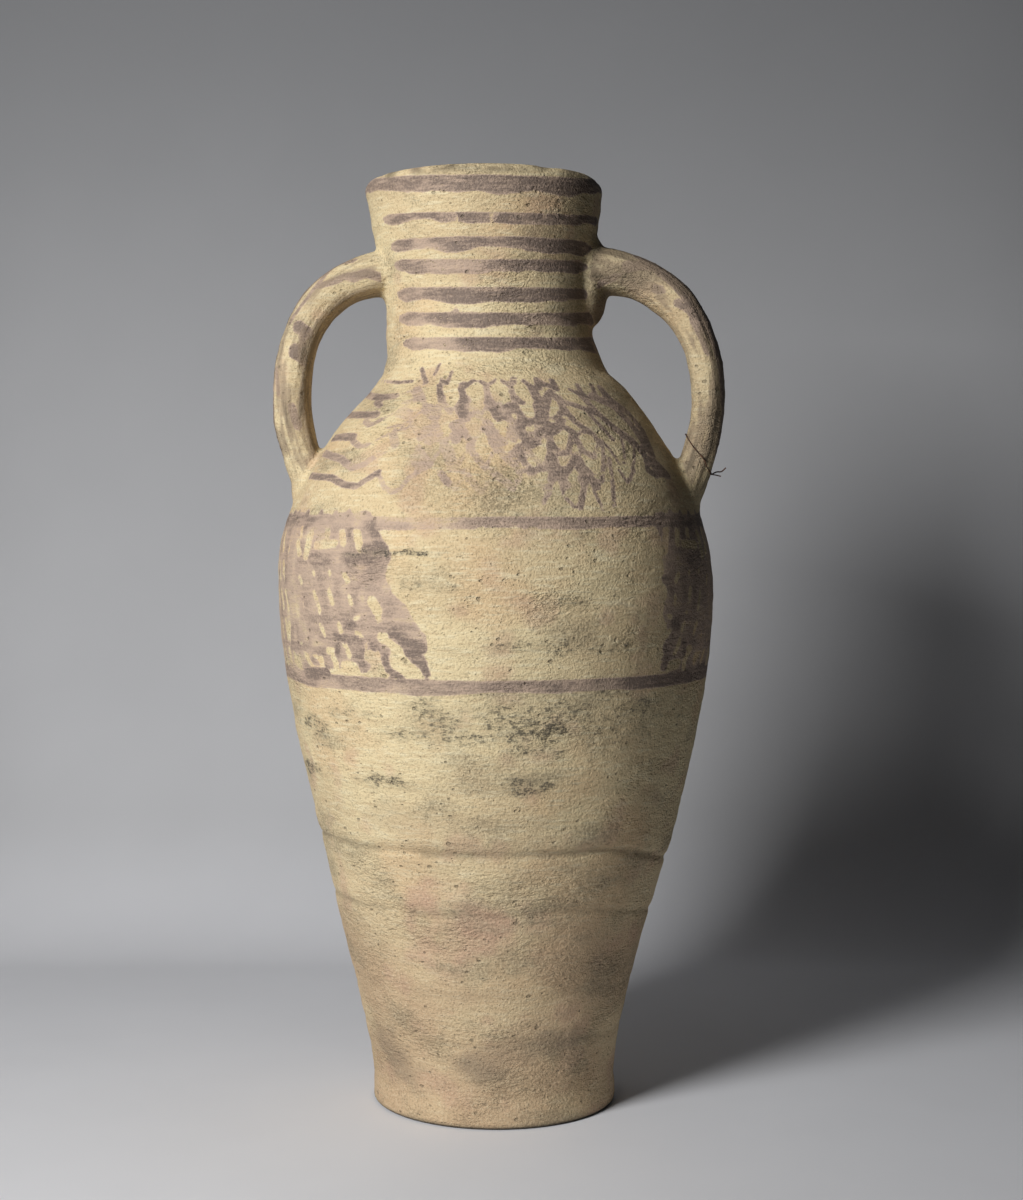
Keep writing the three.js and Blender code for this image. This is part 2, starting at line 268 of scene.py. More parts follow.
@dataclass(frozen=True)
class Wall:
    """The turned outside and inside of the jar. Millimetres, as (radius, height) pairs."""

    height: float = 620.0
    foot_radius: float = 82.4
    foot_edge: float = 2.4
    waist: tuple[float, float] = (81.2, 18.0)
    belly: tuple[float, float] = (146.8, 344.0)
    shoulder_top: tuple[float, float] = (76.6, 492.0)
    neck: tuple[float, float] = (69.3, 530.0)
    rim: tuple[float, float] = (80.0, 614.0)
    lower_steers: tuple[tuple[float, float], ...] = ((85.2, 77.0), (146.8, 246.0))
    shoulder_steers: tuple[tuple[float, float], ...] = ((146.8, 378.0), (143.6, 418.2))
    neck_steers: tuple[tuple[float, float], ...] = ((72.3, 502.0), (69.3, 515.0))
    mouth_steers: tuple[tuple[float, float], ...] = ((69.3, 562.0), (77.2, 592.0))
    body_wall: float = 9.5
    neck_wall: float = 8.5
    floor: float = 14.0
    floor_corner: float = 9.0
    lip_round: float = 4.5
    lip_flat: float = 3.0
    lip_inside: float = 3.0
    above_mouth: float = 12.0
    corner_bevel: float = 0.28
    wander: tuple[tuple[float, float], ...] = (
        (0, -0.7), (100, -1.5), (200, 1.5), (330, 1.0), (390, -0.5), (450, 1.0),
        (480, 3.0), (500, -0.5), (520, -3.8), (600, -6.6), (620, -7.8),
    )
    oval: float = 0.9

    def outside(self) -> np.ndarray:
        """The outside from the foot's waist to the rim."""
        runs = (
            (self.waist, self.lower_steers, self.belly, 60),
            (self.belly, self.shoulder_steers, self.shoulder_top, 40),
            (self.shoulder_top, self.neck_steers, self.neck, 12),
            (self.neck, self.mouth_steers, self.rim, 20),
        )
        parts = [bezier((start, *steers, end), count) for start, steers, end, count in runs]
        return np.concatenate([parts[0]] + [part[1:] for part in parts[1:]])

    def radius(self, height: np.ndarray) -> np.ndarray:
        """The outside's radius at each height, in mm."""
        line = self.outside()
        foot = [(self.foot_radius - 0.9, 0.8), (self.foot_radius, self.foot_edge)]
        lip = [(self.rim[0] - self.lip_round, self.height)]
        full = np.concatenate([foot, line, lip])
        return np.interp(height, full[:, 1], full[:, 0])

    def thickness(self, height: np.ndarray) -> np.ndarray:
        """The wall's thickness at each height, in mm."""
        thinning = eased(self.belly[1], self.neck[1], height)
        return self.body_wall + (self.neck_wall - self.body_wall) * thinning

    def section(self) -> np.ndarray:
        """The solid outside with a flat top, foot to lip, as an outline from axis to axis."""
        edge = self.foot_edge
        foot = [
            (0, 0), (self.foot_radius - edge, 0), (self.foot_radius - edge * 0.3, edge * 0.35),
            (self.foot_radius, edge), (self.foot_radius - 0.3, self.waist[1] * 0.55),
        ]
        turn = np.linspace(0, math.pi / 2, 7)[1:]
        rise = self.height - self.rim[1]
        lip = np.stack([
            self.rim[0] - self.lip_round * (1 - np.cos(turn)), self.rim[1] + rise * np.sin(turn),
        ], axis=1)
        return np.concatenate([foot, self.outside(), lip, [(0, self.height)]])

    def hollow(self) -> np.ndarray:
        """The inside, floor to mouth and on above it, as an outline from axis to axis."""
        floor_radius = self.waist[0] - self.body_wall
        corner_top = self.floor + self.floor_corner
        bevel = self.floor_corner * self.corner_bevel
        heights = np.linspace(corner_top, self.rim[1] - 2 * self.lip_inside, 60)[1:]
        slope = (self.radius(heights + 1) - self.radius(heights - 1)) / 2
        inner = self.radius(heights) - self.thickness(heights) * np.hypot(1, slope)
        crest, top = self.rim[0] - self.lip_round - self.lip_flat, self.height + self.above_mouth
        floor = [
            (0, self.floor), (floor_radius - self.floor_corner, self.floor),
            (floor_radius - bevel, self.floor + bevel), (floor_radius, corner_top),
        ]
        mouth = [
            (crest - self.lip_inside * 0.65, self.height - self.lip_inside * 0.45),
            (crest, self.height), (crest, top), (0, top),
        ]
        return np.concatenate([floor, np.stack([inner, heights], axis=1), mouth])

    def centre(self, height: np.ndarray) -> np.ndarray:
        """How far the jar's centre has wandered towards +X at each height, in mm."""
        return stations(self.wander, height)

    def hand_built(self, piece: bpy.types.Object) -> bpy.types.Object:
        """Moves a turned solid off true, as a jar built from coils by hand is."""
        places = points_of(piece) / MM
        azimuth = np.arctan2(places[:, 0], -places[:, 1])
        radius = np.hypot(places[:, 0], places[:, 1])
        out = self.oval * np.cos(2 * azimuth - math.pi / 2) * np.minimum(1, radius / self.neck[0])
        radius = radius + out
        places[:, 0] = radius * np.sin(azimuth) + self.centre(places[:, 2])
        places[:, 1] = -radius * np.cos(azimuth)
        put_points(piece, places * MM)
        return piece


@dataclass(frozen=True)
class Pad:
    """A pad of clay smeared over a handle's root: its centre and its half sizes, in mm."""

    distance: float
    height: float
    out: float
    up: float
    across: float


@dataclass(frozen=True)
class Handle:
    """One handle, as a bar bent in its own upright plane. Millimetres."""

    side: Side
    azimuth: float
    reach: float
    shoulder: tuple[float, float]
    half_thickness: float
    neck_half_thickness: float
    neck_pad: Pad
    shoulder_pad: Pad
    neck_height: float = 563.0
    reach_height: float = 474.0
    half_width: float = 15.5
    rise_at_neck: tuple[float, float] = (-4.2, 7.0)
    starts: tuple[float, float] = (40.0, 106.0)
    bend_share: float = 0.66
    bend_down: float = 22.0
    foot_steer: tuple[float, float] = (12.0, 22.0)
    neck_span: tuple[float, float] = (0.1, 0.3)
    arch_span: tuple[float, float] = (0.3, 0.55)
    shoulder_span: tuple[float, float] = (0.84, 1.0)
    wider: tuple[float, float] = (6.0, 7.0)
    thicker: tuple[float, float] = (2.5, 1.5)
    squareness: float = 2.5
    groove: float = 1.1
    steps: int = 70
    sides: int = 40

    def line(self) -> np.ndarray:
        """The centre line, as (distance from the axis, height) points from the neck down."""
        fall = self.reach_height + (self.neck_height - self.reach_height) * self.bend_share
        far = (self.reach, self.reach_height)
        root, crest = ((out, self.neck_height + rise)
                       for out, rise in zip(self.starts, self.rise_at_neck))
        steer = (self.shoulder[0] + self.foot_steer[0], self.shoulder[1] + self.foot_steer[1])
        upper = bezier((root, crest, (self.reach, fall), far), 300)
        lower = bezier((far, (self.reach, self.reach_height - self.bend_down), steer,
                        self.shoulder), 200)
        return respaced(np.concatenate([upper, lower[1:]]), 600)

    def size(self, place: np.ndarray) -> tuple[np.ndarray, np.ndarray]:
        """The half width and half thickness at each place from 0, at the neck, to 1."""
        at_neck = 1 - eased(*self.neck_span, place)
        at_shoulder = eased(*self.shoulder_span, place)
        arch = 1 - eased(*self.arch_span, place)
        thickness = self.half_thickness + (self.neck_half_thickness - self.half_thickness) * arch
        width = self.half_width + self.wider[0] * at_neck + self.wider[1] * at_shoulder
        return width, thickness + self.thicker[0] * at_neck + self.thicker[1] * at_shoulder

    @property
    def sign(self) -> int:
        """-1 for the left handle and 1 for the right one, as X has."""
        return -1 if self.side is Side.LEFT else 1

    @property
    def facing(self) -> tuple[float, float]:
        """The sine and cosine of its azimuth."""
        return math.sin(math.radians(self.azimuth)), math.cos(math.radians(self.azimuth))

    def turned_to_side(self, distance: np.ndarray, sideways: np.ndarray,
                       height: np.ndarray) -> np.ndarray:
        """Points of the handle's own plane, in the jar's frame."""
        s, c = self.facing
        return np.stack([distance * s + sideways * c, -distance * c + sideways * s, height], axis=1)

    def bar(self) -> bpy.types.Object:
        """The bar: a disc drawn out step by step, then bent along the centre line."""
        deselect()
        bpy.ops.mesh.primitive_circle_add(vertices=self.sides, radius=1.0, fill_type="NGON")
        piece = bpy.context.object
        piece.name = f"{self.side.value}_bar"
        bpy.ops.object.mode_set(mode="EDIT")
        bpy.ops.mesh.select_all(action="SELECT")
        step = (0, 0, 1 / self.steps)
        for _ in range(self.steps):
            bpy.ops.mesh.extrude_region_move(TRANSFORM_OT_translate={"value": step})
        bpy.ops.object.mode_set(mode="OBJECT")
        faced_out(piece)
        raw = points_of(piece)
        line = self.line()
        place = np.clip(raw[:, 2], 0, 1)
        index = place * (len(line) - 1)
        along = np.gradient(line, axis=0)
        along /= np.linalg.norm(along, axis=1)[:, None]
        whole = np.arange(len(line))
        at = np.stack([np.interp(index, whole, line[:, i]) for i in range(2)], axis=1)
        forward = np.stack([np.interp(index, whole, along[:, i]) for i in range(2)], axis=1)
        power = 2 / self.squareness
        across = np.sign(raw[:, :2]) * np.abs(raw[:, :2]) ** power
        width, thickness = self.size(place)
        wave = np.sin(2 * math.pi * across[:, 1]) ** 2
        out = across[:, 0] * thickness - np.maximum(0, across[:, 0]) * self.groove * wave
        distance = at[:, 0] - forward[:, 1] * out
        height = at[:, 1] + forward[:, 0] * out
        put_points(piece, self.turned_to_side(distance, -across[:, 1] * width, height) * MM)
        faced_out(piece)
        return piece

    def pads(self) -> list[bpy.types.Object]:
        """The two pads of clay over the handle's roots."""
        made = []
        for pad in (self.neck_pad, self.shoulder_pad):
            deselect()
            bpy.ops.mesh.primitive_uv_sphere_add(segments=40, ring_count=24, radius=1.0)
            piece = bpy.context.object
            place = Matrix.Rotation(math.radians(self.azimuth), 4, "Z") @ Matrix.Translation(
                Vector((0, -pad.distance, pad.height)) * MM)
            piece.data.transform(place @ Matrix.Diagonal((*(
                Vector((pad.across, pad.out, pad.up)) * MM), 1)))
            made.append(piece)
        return made


@dataclass(frozen=True)
class Stroke:
    """One pull of a brush: the points it passes, its half width in mm, and its opacity.

    A point on the body is (degrees round from the front, height in mm). One on a handle is
    (mm along it from the neck, degrees round it).
    """

    points: tuple[tuple[float, float], ...]
    half_width: float
    load: float


def strokes(*rows: tuple[float, ...]) -> tuple[Stroke, ...]:
    """Strokes from rows that hold the half width, the opacity, and then the points' numbers."""
    return tuple(Stroke(tuple(zip(row[2::2], row[3::2])), *row[:2]) for row in rows)


def segment_reach(spot: np.ndarray, start: np.ndarray, end: np.ndarray) -> np.ndarray:
    """How far each spot is from a straight segment.

    Args:
        spot: Places on a flat sheet, one a row.
        start: The segment's start.
        end: Its end.

    Returns:
        The distances.
    """
    run = end - start
    share = np.clip(((spot - start) @ run) / max(float(run @ run), 1e-9), 0.0, 1.0)
    return np.linalg.norm(spot - start - share[:, None] * run, axis=1)


class Lattice:
    """Smooth random values through space, the same on every run."""

    SIDE = 32
    LAYER_SHIFT = 17.3
    LAYER_SHARE = 0.55
    SPREAD = 0.42

    def __init__(self, seed: int) -> None:
        """Draws the values at the lattice's corners.

        Args:
            seed: What the draw starts from.
        """
        self.values = np.random.default_rng(seed).uniform(-1, 1, (self.SIDE,) * 3)

    def at(self, places: np.ndarray, size: float) -> np.ndarray:
        """Reads the lattice.

        Args:
            places: Points, one a row.
            size: The distance between its corners.

        Returns:
            A value from -1 to 1 at each point.
        """
        scaled = places / size
        corner = np.floor(scaled).astype(int)
        share = scaled - corner
        share = share * share * (3 - 2 * share)
        total = np.zeros(len(places))
        for step in np.ndindex(2, 2, 2):
            pick = (corner + step) % self.SIDE
            weight = np.prod(np.where(step, share, 1 - share), axis=1)
            total += weight * self.values[pick[:, 0], pick[:, 1], pick[:, 2]]
        return total

    def cloud(self, places: np.ndarray, size: float, layers: int = 3,
              up: float = 1.0) -> np.ndarray:
        """Cloudy values round 0.5, from several layers of the lattice.

        Args:
            places: Points, one a row.
            size: The size of the largest cloud.
            layers: How many finer layers it has.
            up: How much flatter than wide the clouds are.

        Returns:
            The values.
        """
        total, strength = np.zeros(len(places)), 1.0
        for layer in range(layers):
            shifted = places * (1, 1, up) + self.LAYER_SHIFT * layer
            total += strength * self.at(shifted, size / 2 ** layer)
            strength *= self.LAYER_SHARE
        return 0.5 + self.SPREAD * total


def around(azimuth: np.ndarray, middle: float) -> np.ndarray:
    """Degrees from a middle azimuth to each azimuth, the short way round."""
    return (azimuth - middle + 180) % 360 - 180


@dataclass(frozen=True)
class Band:
    """A painted band round the jar. Heights and widths in mm, ends and stations in degrees."""

    height: float
    width: float
    loads: tuple[tuple[float, float], ...]
    rise: float = 0.0
    ends: tuple[float, float] | None = None
    rises_by: float = 62.0
    rises_to: float = 1.3
    width_waver: float = 0.20
    height_waver: float = 0.8
    end_share: float = 0.5
    end_length: float = 11.0

    def inside(self, azimuth: np.ndarray, height: np.ndarray, waver: np.ndarray,
               radius: float) -> np.ndarray:
        """How far each place is inside the band.

        Args:
            azimuth: Degrees round from the front, at each place.
            height: The height in mm.
            waver: How far the brush strayed there, in mm.
            radius: The wall's radius at the band, in mm.

        Returns:
            The distance inside the band's edge in mm, below 0 outside it.
        """
        away = np.minimum(np.abs(around(azimuth, 0)) / self.rises_by, self.rises_to)
        half = self.width / 2 * (1 + self.width_waver * waver)
        if self.ends is not None:
            middle, reach = np.mean(self.ends), np.ptp(self.ends) / 2
            left = (reach - np.abs(around(azimuth, middle))) * math.radians(radius)
            tapered = self.end_share + (1 - self.end_share) * eased(0, self.end_length, left)
            half = np.where(left > 0, half * tapered, left)
        middle_height = self.height + self.rise * away ** 2 - self.height_waver * waver
        return half - np.abs(height - middle_height)


def even(load: float) -> tuple[tuple[float, float], ...]:
    """One paint load all the way round."""
    return ((-180.0, load), (180.0, load))


@dataclass(frozen=True)
class BrushWork:
    """The painter's bands, and the strokes on the shoulder, the side panels and the handles.

    A row of waves is its top and drop in mm, its first and last azimuth, its pitch in degrees and
    its opacity. A neck band is its height, width and rise in mm and the azimuths of its ends.
    """

    rows: tuple[tuple[float, float, float, float, float, float], ...] = (
        (480, 11, 110, 246, 11.5, 0.72), (466, 12, 108, 246, 10.0, 0.76),
        (450, 12, 106, 244, 9.0, 0.76), (435, 12, 104, 244, 8.0, 0.70),
        (420, 11, 104, 242, 7.6, 0.52), (470, 12, -44, -8, 9.3, 0.27),
        (454, 13, -46, 0, 8.8, 0.29), (438, 13, -42, 2, 8.4, 0.26), (422, 11, -36, 6, 8.2, 0.20),
    )
    row_seed: int = 11
    row_shift: float = 0.3
    valley_share: float = 0.62
    drop_spread: tuple[float, float] = (0.85, 1.15)
    fresh_spread: tuple[float, float] = (0.75, 1.2)
    down_half_width: tuple[float, float] = (1.7, 2.6)
    up_half_width: tuple[float, float] = (0.9, 1.5)
    up_share: float = 0.9
    neck_loads: tuple[tuple[float, float], ...] = ((-64, 0.50), (-50, 0.82), (15, 0.94), (62, 0.97))
    neck_bands: tuple[tuple[float, float, float, float, float], ...] = (
        (585.8, 6.2, 4.7, -65.7, 78.0), (570.0, 8.0, 2.7, -62.0, 66.0),
        (555.4, 8.8, 5.0, -61.5, 62.0), (538.0, 8.8, 3.8, -62.0, 67.0),
        (521.7, 8.6, 4.8, -61.0, 82.0), (506.0, 8.4, 3.9, -57.0, 84.0),
    )
    neck_back: tuple[float, float] = (101.0, 252.0)
    neck_back_load: float = 0.74
    neck_back_rise: float = 0.4
    full_bands: tuple[Band, ...] = (
        Band(606.8, 9.8, ((-90, 0.72), (-20, 0.74), (20, 0.88), (90, 0.88)), 5.6),
        Band(391.0, 6.8, ((-90, 0.76), (-42, 0.74), (-34, 0.30), (-12, 0.30), (-3, 0.56),
                          (40, 0.74)), 2.0),
        Band(388.0, 2.6, ((-90, 0.70), (-30, 0.50), (0, 0.56), (40, 0.75)), 2.0),
        Band(290.5, 9.2, ((-90, 0.55), (-50, 0.66), (-20, 0.60), (2, 0.62), (25, 0.86),
                          (60, 0.90)), 1.5),
    )
    waver_seed: int = 21
    waver_size: float = 19.0
    waver: float = 3.2
    hooks: tuple[Stroke, ...] = strokes(
        (1.2, 0.9, -6.3, 480.5, -2.6, 478, 0, 481.5), (1.6, 0.9, -3.6, 478.5, -3, 474, -2.4, 467.5),
        (1.4, 0.9, 2.7, 481, 5.9, 478, 8.4, 482), (1.9, 0.9, 5.9, 478, 7, 470.5, 10, 466.5),
        (1.9, 0.9, 7.9, 482.5, 7.4, 479.5), (1.4, 0.9, 11.7, 481, 15.3, 476.5, 18.3, 476.5),
        (2.1, 0.9, 17.8, 482, 17.5, 476), (2.1, 0.9, 14.3, 476.5, 15.6, 469),
        (1.4, 0.9, 18.1, 482, 22, 478, 25.4, 476), (2.1, 0.9, 24.5, 481.5, 24.9, 476),
        (1.4, 0.9, 31.1, 476, 34.6, 473, 38.7, 471), (1.6, 0.9, 35.8, 479.5, 36.1, 473.5),
        (1.6, 0.9, 43.7, 480, 42.5, 473), (3.4, 0.9, 48.5, 478, 49.3, 471.5),
        (1.5, 0.9, -38.7, 491, -31.3, 480.5), (1.2, 0.9, -28.5, 493.5, -28.9, 486.5),
        (1.1, 0.9, -24.3, 483, -20.4, 479.5, -20.3, 488),
        (1.5, 0.9, -14.6, 480, -11.9, 477.5, -9.1, 481.5), (1.9, 0.9, -24, 479, -21.1, 469.5),
        (1.3, 0.9, -70.2, 485.5, -48.7, 482.5, -39.8, 482.5),
        (2.1, 0.9, -13.7, 476, -12, 470, -11.2, 458.5),
        (2.1, 0.9, -3.4, 476.5, -2.2, 467, 1.4, 455.5),
    )
    net: tuple[Stroke, ...] = strokes(
        (1.8, 0.77, -3.2, 466.5, 0.1, 460, 0.7, 456.5, 4.2, 456.5),
        (1.4, 0.77, 4.2, 456.5, 6.5, 463), (2.1, 0.77, 6.5, 463, 8.5, 459, 10.3, 454, 15.1, 455.5),
        (1.6, 0.77, 3.6, 464, 7.2, 465.5, 8.6, 460),
        (2.4, 0.77, 15.1, 455.5, 17.9, 462, 19.5, 467.5),
        (3, 0.77, 15.4, 465, 15.4, 456, 17.3, 452),
        (2.1, 0.77, 15.7, 474, 16.8, 468.5, 18.7, 467.5),
        (2.8, 0.77, 21.8, 473.5, 18.4, 466.5, 16.6, 456),
        (2.5, 0.77, 16.8, 455, 17.5, 446.5, 20.2, 449),
        (1.9, 0.77, 20.9, 456, 24.4, 462, 25.1, 470.5),
        (2.1, 0.77, 23.7, 471, 25.4, 462, 27.3, 455.5, 31.7, 447.5),
        (2.3, 0.77, 17.3, 452, 20.5, 450.5, 23.1, 455.5),
        (2.1, 0.77, 7.6, 454, 8.5, 447, 9.4, 441.5, 10.9, 438, 12.7, 440),
        (1.9, 0.77, 12.7, 440, 14.2, 446, 16.7, 451), (1.4, 0.77, 8.3, 453.5, 11, 452, 14.3, 455),
        (1.9, 0.77, 16.5, 445.5, 17.6, 438.5, 19.3, 434, 21.8, 434.5),
        (1.5, 0.77, 21.8, 434.5, 23.7, 442.5, 25, 449),
        (2.1, 0.77, 23.2, 450.5, 25.2, 448, 25.9, 442, 26.8, 435.5, 29.8, 432),
        (1, 0.77, 29.8, 432, 31.8, 438, 33.4, 447), (1.1, 0.77, 26.9, 446.5, 32.2, 449.5),
        (1.9, 0.77, 7.4, 437.5, 8.2, 428, 10.2, 423, 12.9, 424),
        (1.9, 0.77, 17.2, 444.5, 16.4, 437.5, 16.3, 431),
        (2.3, 0.77, 16.6, 434.5, 17.7, 425, 19.6, 421),
        (2.2, 0.77, 19.6, 421, 22.2, 427.5, 24, 432),
        (2.3, 0.77, 24.3, 433, 25.4, 425, 27.1, 421.5), (2.8, 0.77, 17.1, 422, 19, 415),
        (2.5, 0.77, 26.6, 420, 28.5, 413.5), (2.3, 0.77, 23.9, 425, 26.1, 422),
        (2.2, 0.77, 16, 431, 15.9, 422, 15.3, 417),
        (2.3, 0.77, 24.2, 423.5, 26.2, 423.5, 24.8, 417.5),
        (1.2, 0.77, 14.8, 417, 13.9, 408, 12.4, 403),
        (1, 0.77, 17.3, 418, 18.4, 406.5, 21.1, 399.5, 22.6, 400),
        (1.9, 0.77, 25.9, 422, 24, 411, 22.4, 401), (1, 0.77, 26.6, 417.5, 27.4, 408, 28.6, 399),
        (1.4, 0.77, 35, 431, 33.5, 414.5, 32.4, 401.5),
        (1.3, 0.77, 34.9, 442.5, 32.7, 430, 30.3, 416.5),
        (1, 0.77, 36.1, 440, 38.2, 428.5, 40.7, 429, 44.1, 447),
        (1, 0.77, 45.8, 445.5, 47.8, 439, 40.6, 418.5), (1, 0.77, 37.6, 424, 39, 416, 43.4, 424.5),
    )
    dark_net: tuple[Stroke, ...] = strokes(
        (2.2, 0.8, 33.9, 474, 38.7, 461.5, 42.4, 453.5, 45.8, 445.5),
        (3.3, 0.8, 40.5, 472, 48.8, 467, 53.6, 454.5, 55, 441.5),
        (2, 0.8, 25.7, 468, 32.9, 464, 39.4, 459.5, 42.9, 450),
        (2.9, 0.8, 47.9, 473, 56.3, 463, 59.5, 451.5, 56.2, 435),
        (1.5, 0.8, 34.9, 459.5, 38.2, 449, 39.6, 443.5),
        (2.7, 0.8, 44.1, 450, 49.1, 444, 51, 434.5),
        (2.4, 0.8, 52.5, 439.5, 49.4, 424.5, 52.8, 421.5),
        (3.1, 0.8, 53.2, 431.5, 54.1, 423.5, 59.6, 422),
        (2.7, 0.8, 51.1, 462.5, 54.8, 451, 54.7, 438), (3.5, 0.8, 55.4, 430, 58.6, 423.5),
    )
    waves: tuple[Stroke, ...] = strokes(
        (2.6, 0.85, -82.2, 477.5, -56.3, 473, -44.8, 473), (2.1, 0.75, -57.9, 470.5, -51.2, 467),
        (1, 0.35, -44.8, 473, -38.1, 475.5, -33.4, 477),
        (2.8, 0.85, -82.6, 463.5, -66.9, 462.5, -49.2, 460.5),
        (2, 0.6, -54.1, 457, -49.1, 454, -45, 457),
        (1.1, 0.4, -45, 457, -39.5, 461.5, -33.6, 468.5, -28.4, 470.5),
        (2.9, 0.9, -73.9, 447.5, -63.8, 447.5, -54, 446.5),
        (2, 0.55, -54.2, 444.5, -48, 440, -44.4, 440.5),
        (1, 0.4, -44.4, 440.5, -41.9, 443.5, -35.1, 449.5, -30.3, 450.5),
        (2.5, 0.6, -72.1, 437.5, -54.8, 432.5, -46.4, 426, -42.3, 427.5, -38.7, 433),
        (1.2, 0.35, -38.7, 433, -35.2, 435),
        (2.2, 0.85, -72.2, 422.5, -54.2, 420, -46.5, 415, -41.5, 414, -37.4, 419.5, -35.1, 422.5),
        (1.7, 0.32, -35.1, 422.5, -31.5, 413, -28.3, 409.5, -26.3, 412, -24.4, 419),
        (1.4, 0.4, -38.4, 468, -34, 469.5, -28.4, 470.5),
        (1.1, 0.35, -39.1, 451.5, -31.2, 454.5, -27.7, 460.5, -23.9, 465.5),
    )
    faded: tuple[Stroke, ...] = strokes(
        (3.8, 0.3, -35, 476, -30.9, 471), (4.4, 0.32, -37, 461.5, -33, 460),
        (4.4, 0.35, -25.3, 463, -21.3, 458.5), (3.8, 0.4, -12.2, 463.5, -10.1, 456.5),
        (3.1, 0.42, -14, 452, -11.2, 448, -12, 442.5), (3.8, 0.3, -23.3, 449, -20.6, 442.5),
        (3.1, 0.25, -35.3, 446.5, -32.6, 440), (5, 0.25, -23.7, 431.5, -21, 426.5),
        (2.2, 0.6, -14.2, 419.5, -13.5, 415.5), (1.9, 0.3, -7.5, 442, -6.8, 439),
        (2, 0.28, -24.7, 417.5, -21.3, 423.5), (3.1, 0.35, -1.5, 448.5, -0.1, 439),
        (3.1, 0.4, -2, 448.5, 0, 442), (1.9, 0.4, 4.8, 432.5, 6.7, 438),
        (1.9, 0.3, 6.2, 424.5, 6.8, 417), (3.8, 0.2, -14.1, 436, -11.8, 425),
        (1.9, 0.4, -1.8, 462.5, 1.4, 465.5), (3.1, 0.3, 5.3, 451, 5.7, 443.5),
    )
    panel_outline: tuple[tuple[float, float], ...] = (
        (-95, 398), (-33.9, 397.5), (-28.9, 379), (-26.3, 369.5), (-27.6, 359), (-23.5, 347),
        (-19.1, 330), (-17.6, 318), (-16.8, 299.5), (-95, 293),
    )
    panel_gaps: tuple[Stroke, ...] = strokes(
        (2.1, 0, -48.4, 390.5, -47.6, 384), (2.1, 0, -42.9, 390.5, -41.1, 378.5),
        (2.6, 0, -37.9, 390.5, -35.1, 374), (2.1, 0, -61.6, 390.5, -60.1, 384),
        (3, 0, -55.1, 383.5, -56.3, 370.5), (2.3, 0, -61.6, 378.5, -60, 372),
        (2.2, 0, -51.8, 377, -44.1, 378), (1.5, 0, -59.2, 356, -58.1, 353),
        (0.8, 0, -52.2, 360.5, -51.4, 358), (0.8, 0, -45.4, 360.5, -45.2, 358.5),
        (1.4, 0, -39.9, 358.5, -38.6, 354.5), (1.2, 0, -57.1, 345, -56.8, 335.5),
        (1.2, 0, -51.8, 347, -49.5, 334.5), (1.3, 0, -45.6, 349, -44.3, 341),
        (1.2, 0, -38.3, 345, -37.7, 341), (3, 0, -31.2, 342.5, -29.7, 336.5),
        (1.2, 0, -43.2, 333.5, -41.5, 322.5), (1.4, 0, -55.8, 326, -53.8, 317.5),
        (1.2, 0, -49.5, 327, -48, 320.5), (1.2, 0, -36.4, 323, -33.2, 316.5),
        (1, 0, -36.7, 331.5, -35.2, 332.5), (1.2, 0, -29.7, 333, -29.2, 330.5),
        (1.7, 0, -60.3, 313.5, -55.8, 300.5), (2.1, 0, -53.8, 308.5, -50.5, 305, -50.7, 296.5),
        (1.8, 0, -47, 310.5, -45, 310.5, -45.2, 305), (1.5, 0, -40.9, 316.5, -39.2, 308.5),
        (4, 0, -33.7, 310, -31.4, 309.5, -30.6, 300),
        (3.2, 0, -28.7, 320.5, -26.1, 318.5, -23.9, 310, -21.1, 299.5),
        (2.6, 0, -26.6, 306.5, -22.9, 299), (3, 0, -41.2, 301.5, -36.9, 300.5),
        (2.1, 0, -44.4, 303.5, -44.7, 293), (2.7, 0, -68.6, 324.5, -66.6, 305.5, -62.8, 299.5),
    )
    panel_strokes: tuple[Stroke, ...] = strokes(
        (2.6, 0.6, -72.6, 398, -69.3, 378.5, -69.2, 354, -65.8, 330, -68.1, 297),
        (2.2, 0.8, -52.9, 397.5, -50.9, 389), (2.2, 0.75, -46.6, 397, -45.1, 384),
        (2.3, 0.8, -41.4, 397.5, -39.1, 382.5), (2.7, 0.85, -35.2, 396, -31.7, 385.5, -28.3, 375.5),
        (2.2, 0.7, -67.3, 398, -69.3, 392.5), (3.2, 0.9, -25.6, 322, -21.6, 317, -17.9, 314),
        (2.5, 0.9, -21.9, 311.5, -17.8, 303.5, -17.1, 299),
        (2.1, 0.85, -28.1, 309.5, -27.6, 301, -23.8, 295.5),
        (1.8, 0.85, -43.5, 321, -40.4, 318, -34.7, 317.5, -30.9, 313.5),
        (3, 0.75, -40, 369.5, -32, 369, -27.1, 371), (2.6, 0.7, -33.8, 375.5, -27.8, 375),
        (1.9, 0.85, -43.2, 314.5, -43.7, 309), (2.7, 0.7, -36.6, 351.5, -34.1, 355.5),
        (1.8, 0.75, -34.7, 313, -35.4, 309, -34.4, 300), (1.8, 0.8, -39.7, 326.5, -37.4, 327.5),
        (1.9, 0.6, -29.2, 327.5, -20.1, 325.5), (3.2, 0.7, -53, 368.5, -46.5, 367.5),
        (2.9, 0.85, -60, 295.5, -48.5, 296.5), (1.8, 0.7, -36.9, 309, -35.4, 299.5),
        (2.4, 0.7, -60.5, 398, -59, 386), (1.7, 0.6, -64.5, 350, -62, 318),
        (1.7, 0.55, -57, 345, -54, 312), (1.6, 0.6, -49.5, 360, -46.5, 334),
        (2.2, 0.6, -79, 390, -77.5, 352), (1.8, 0.65, -66, 312, -50, 309),
        (1.7, 0.6, -52, 330, -38, 332),
    )
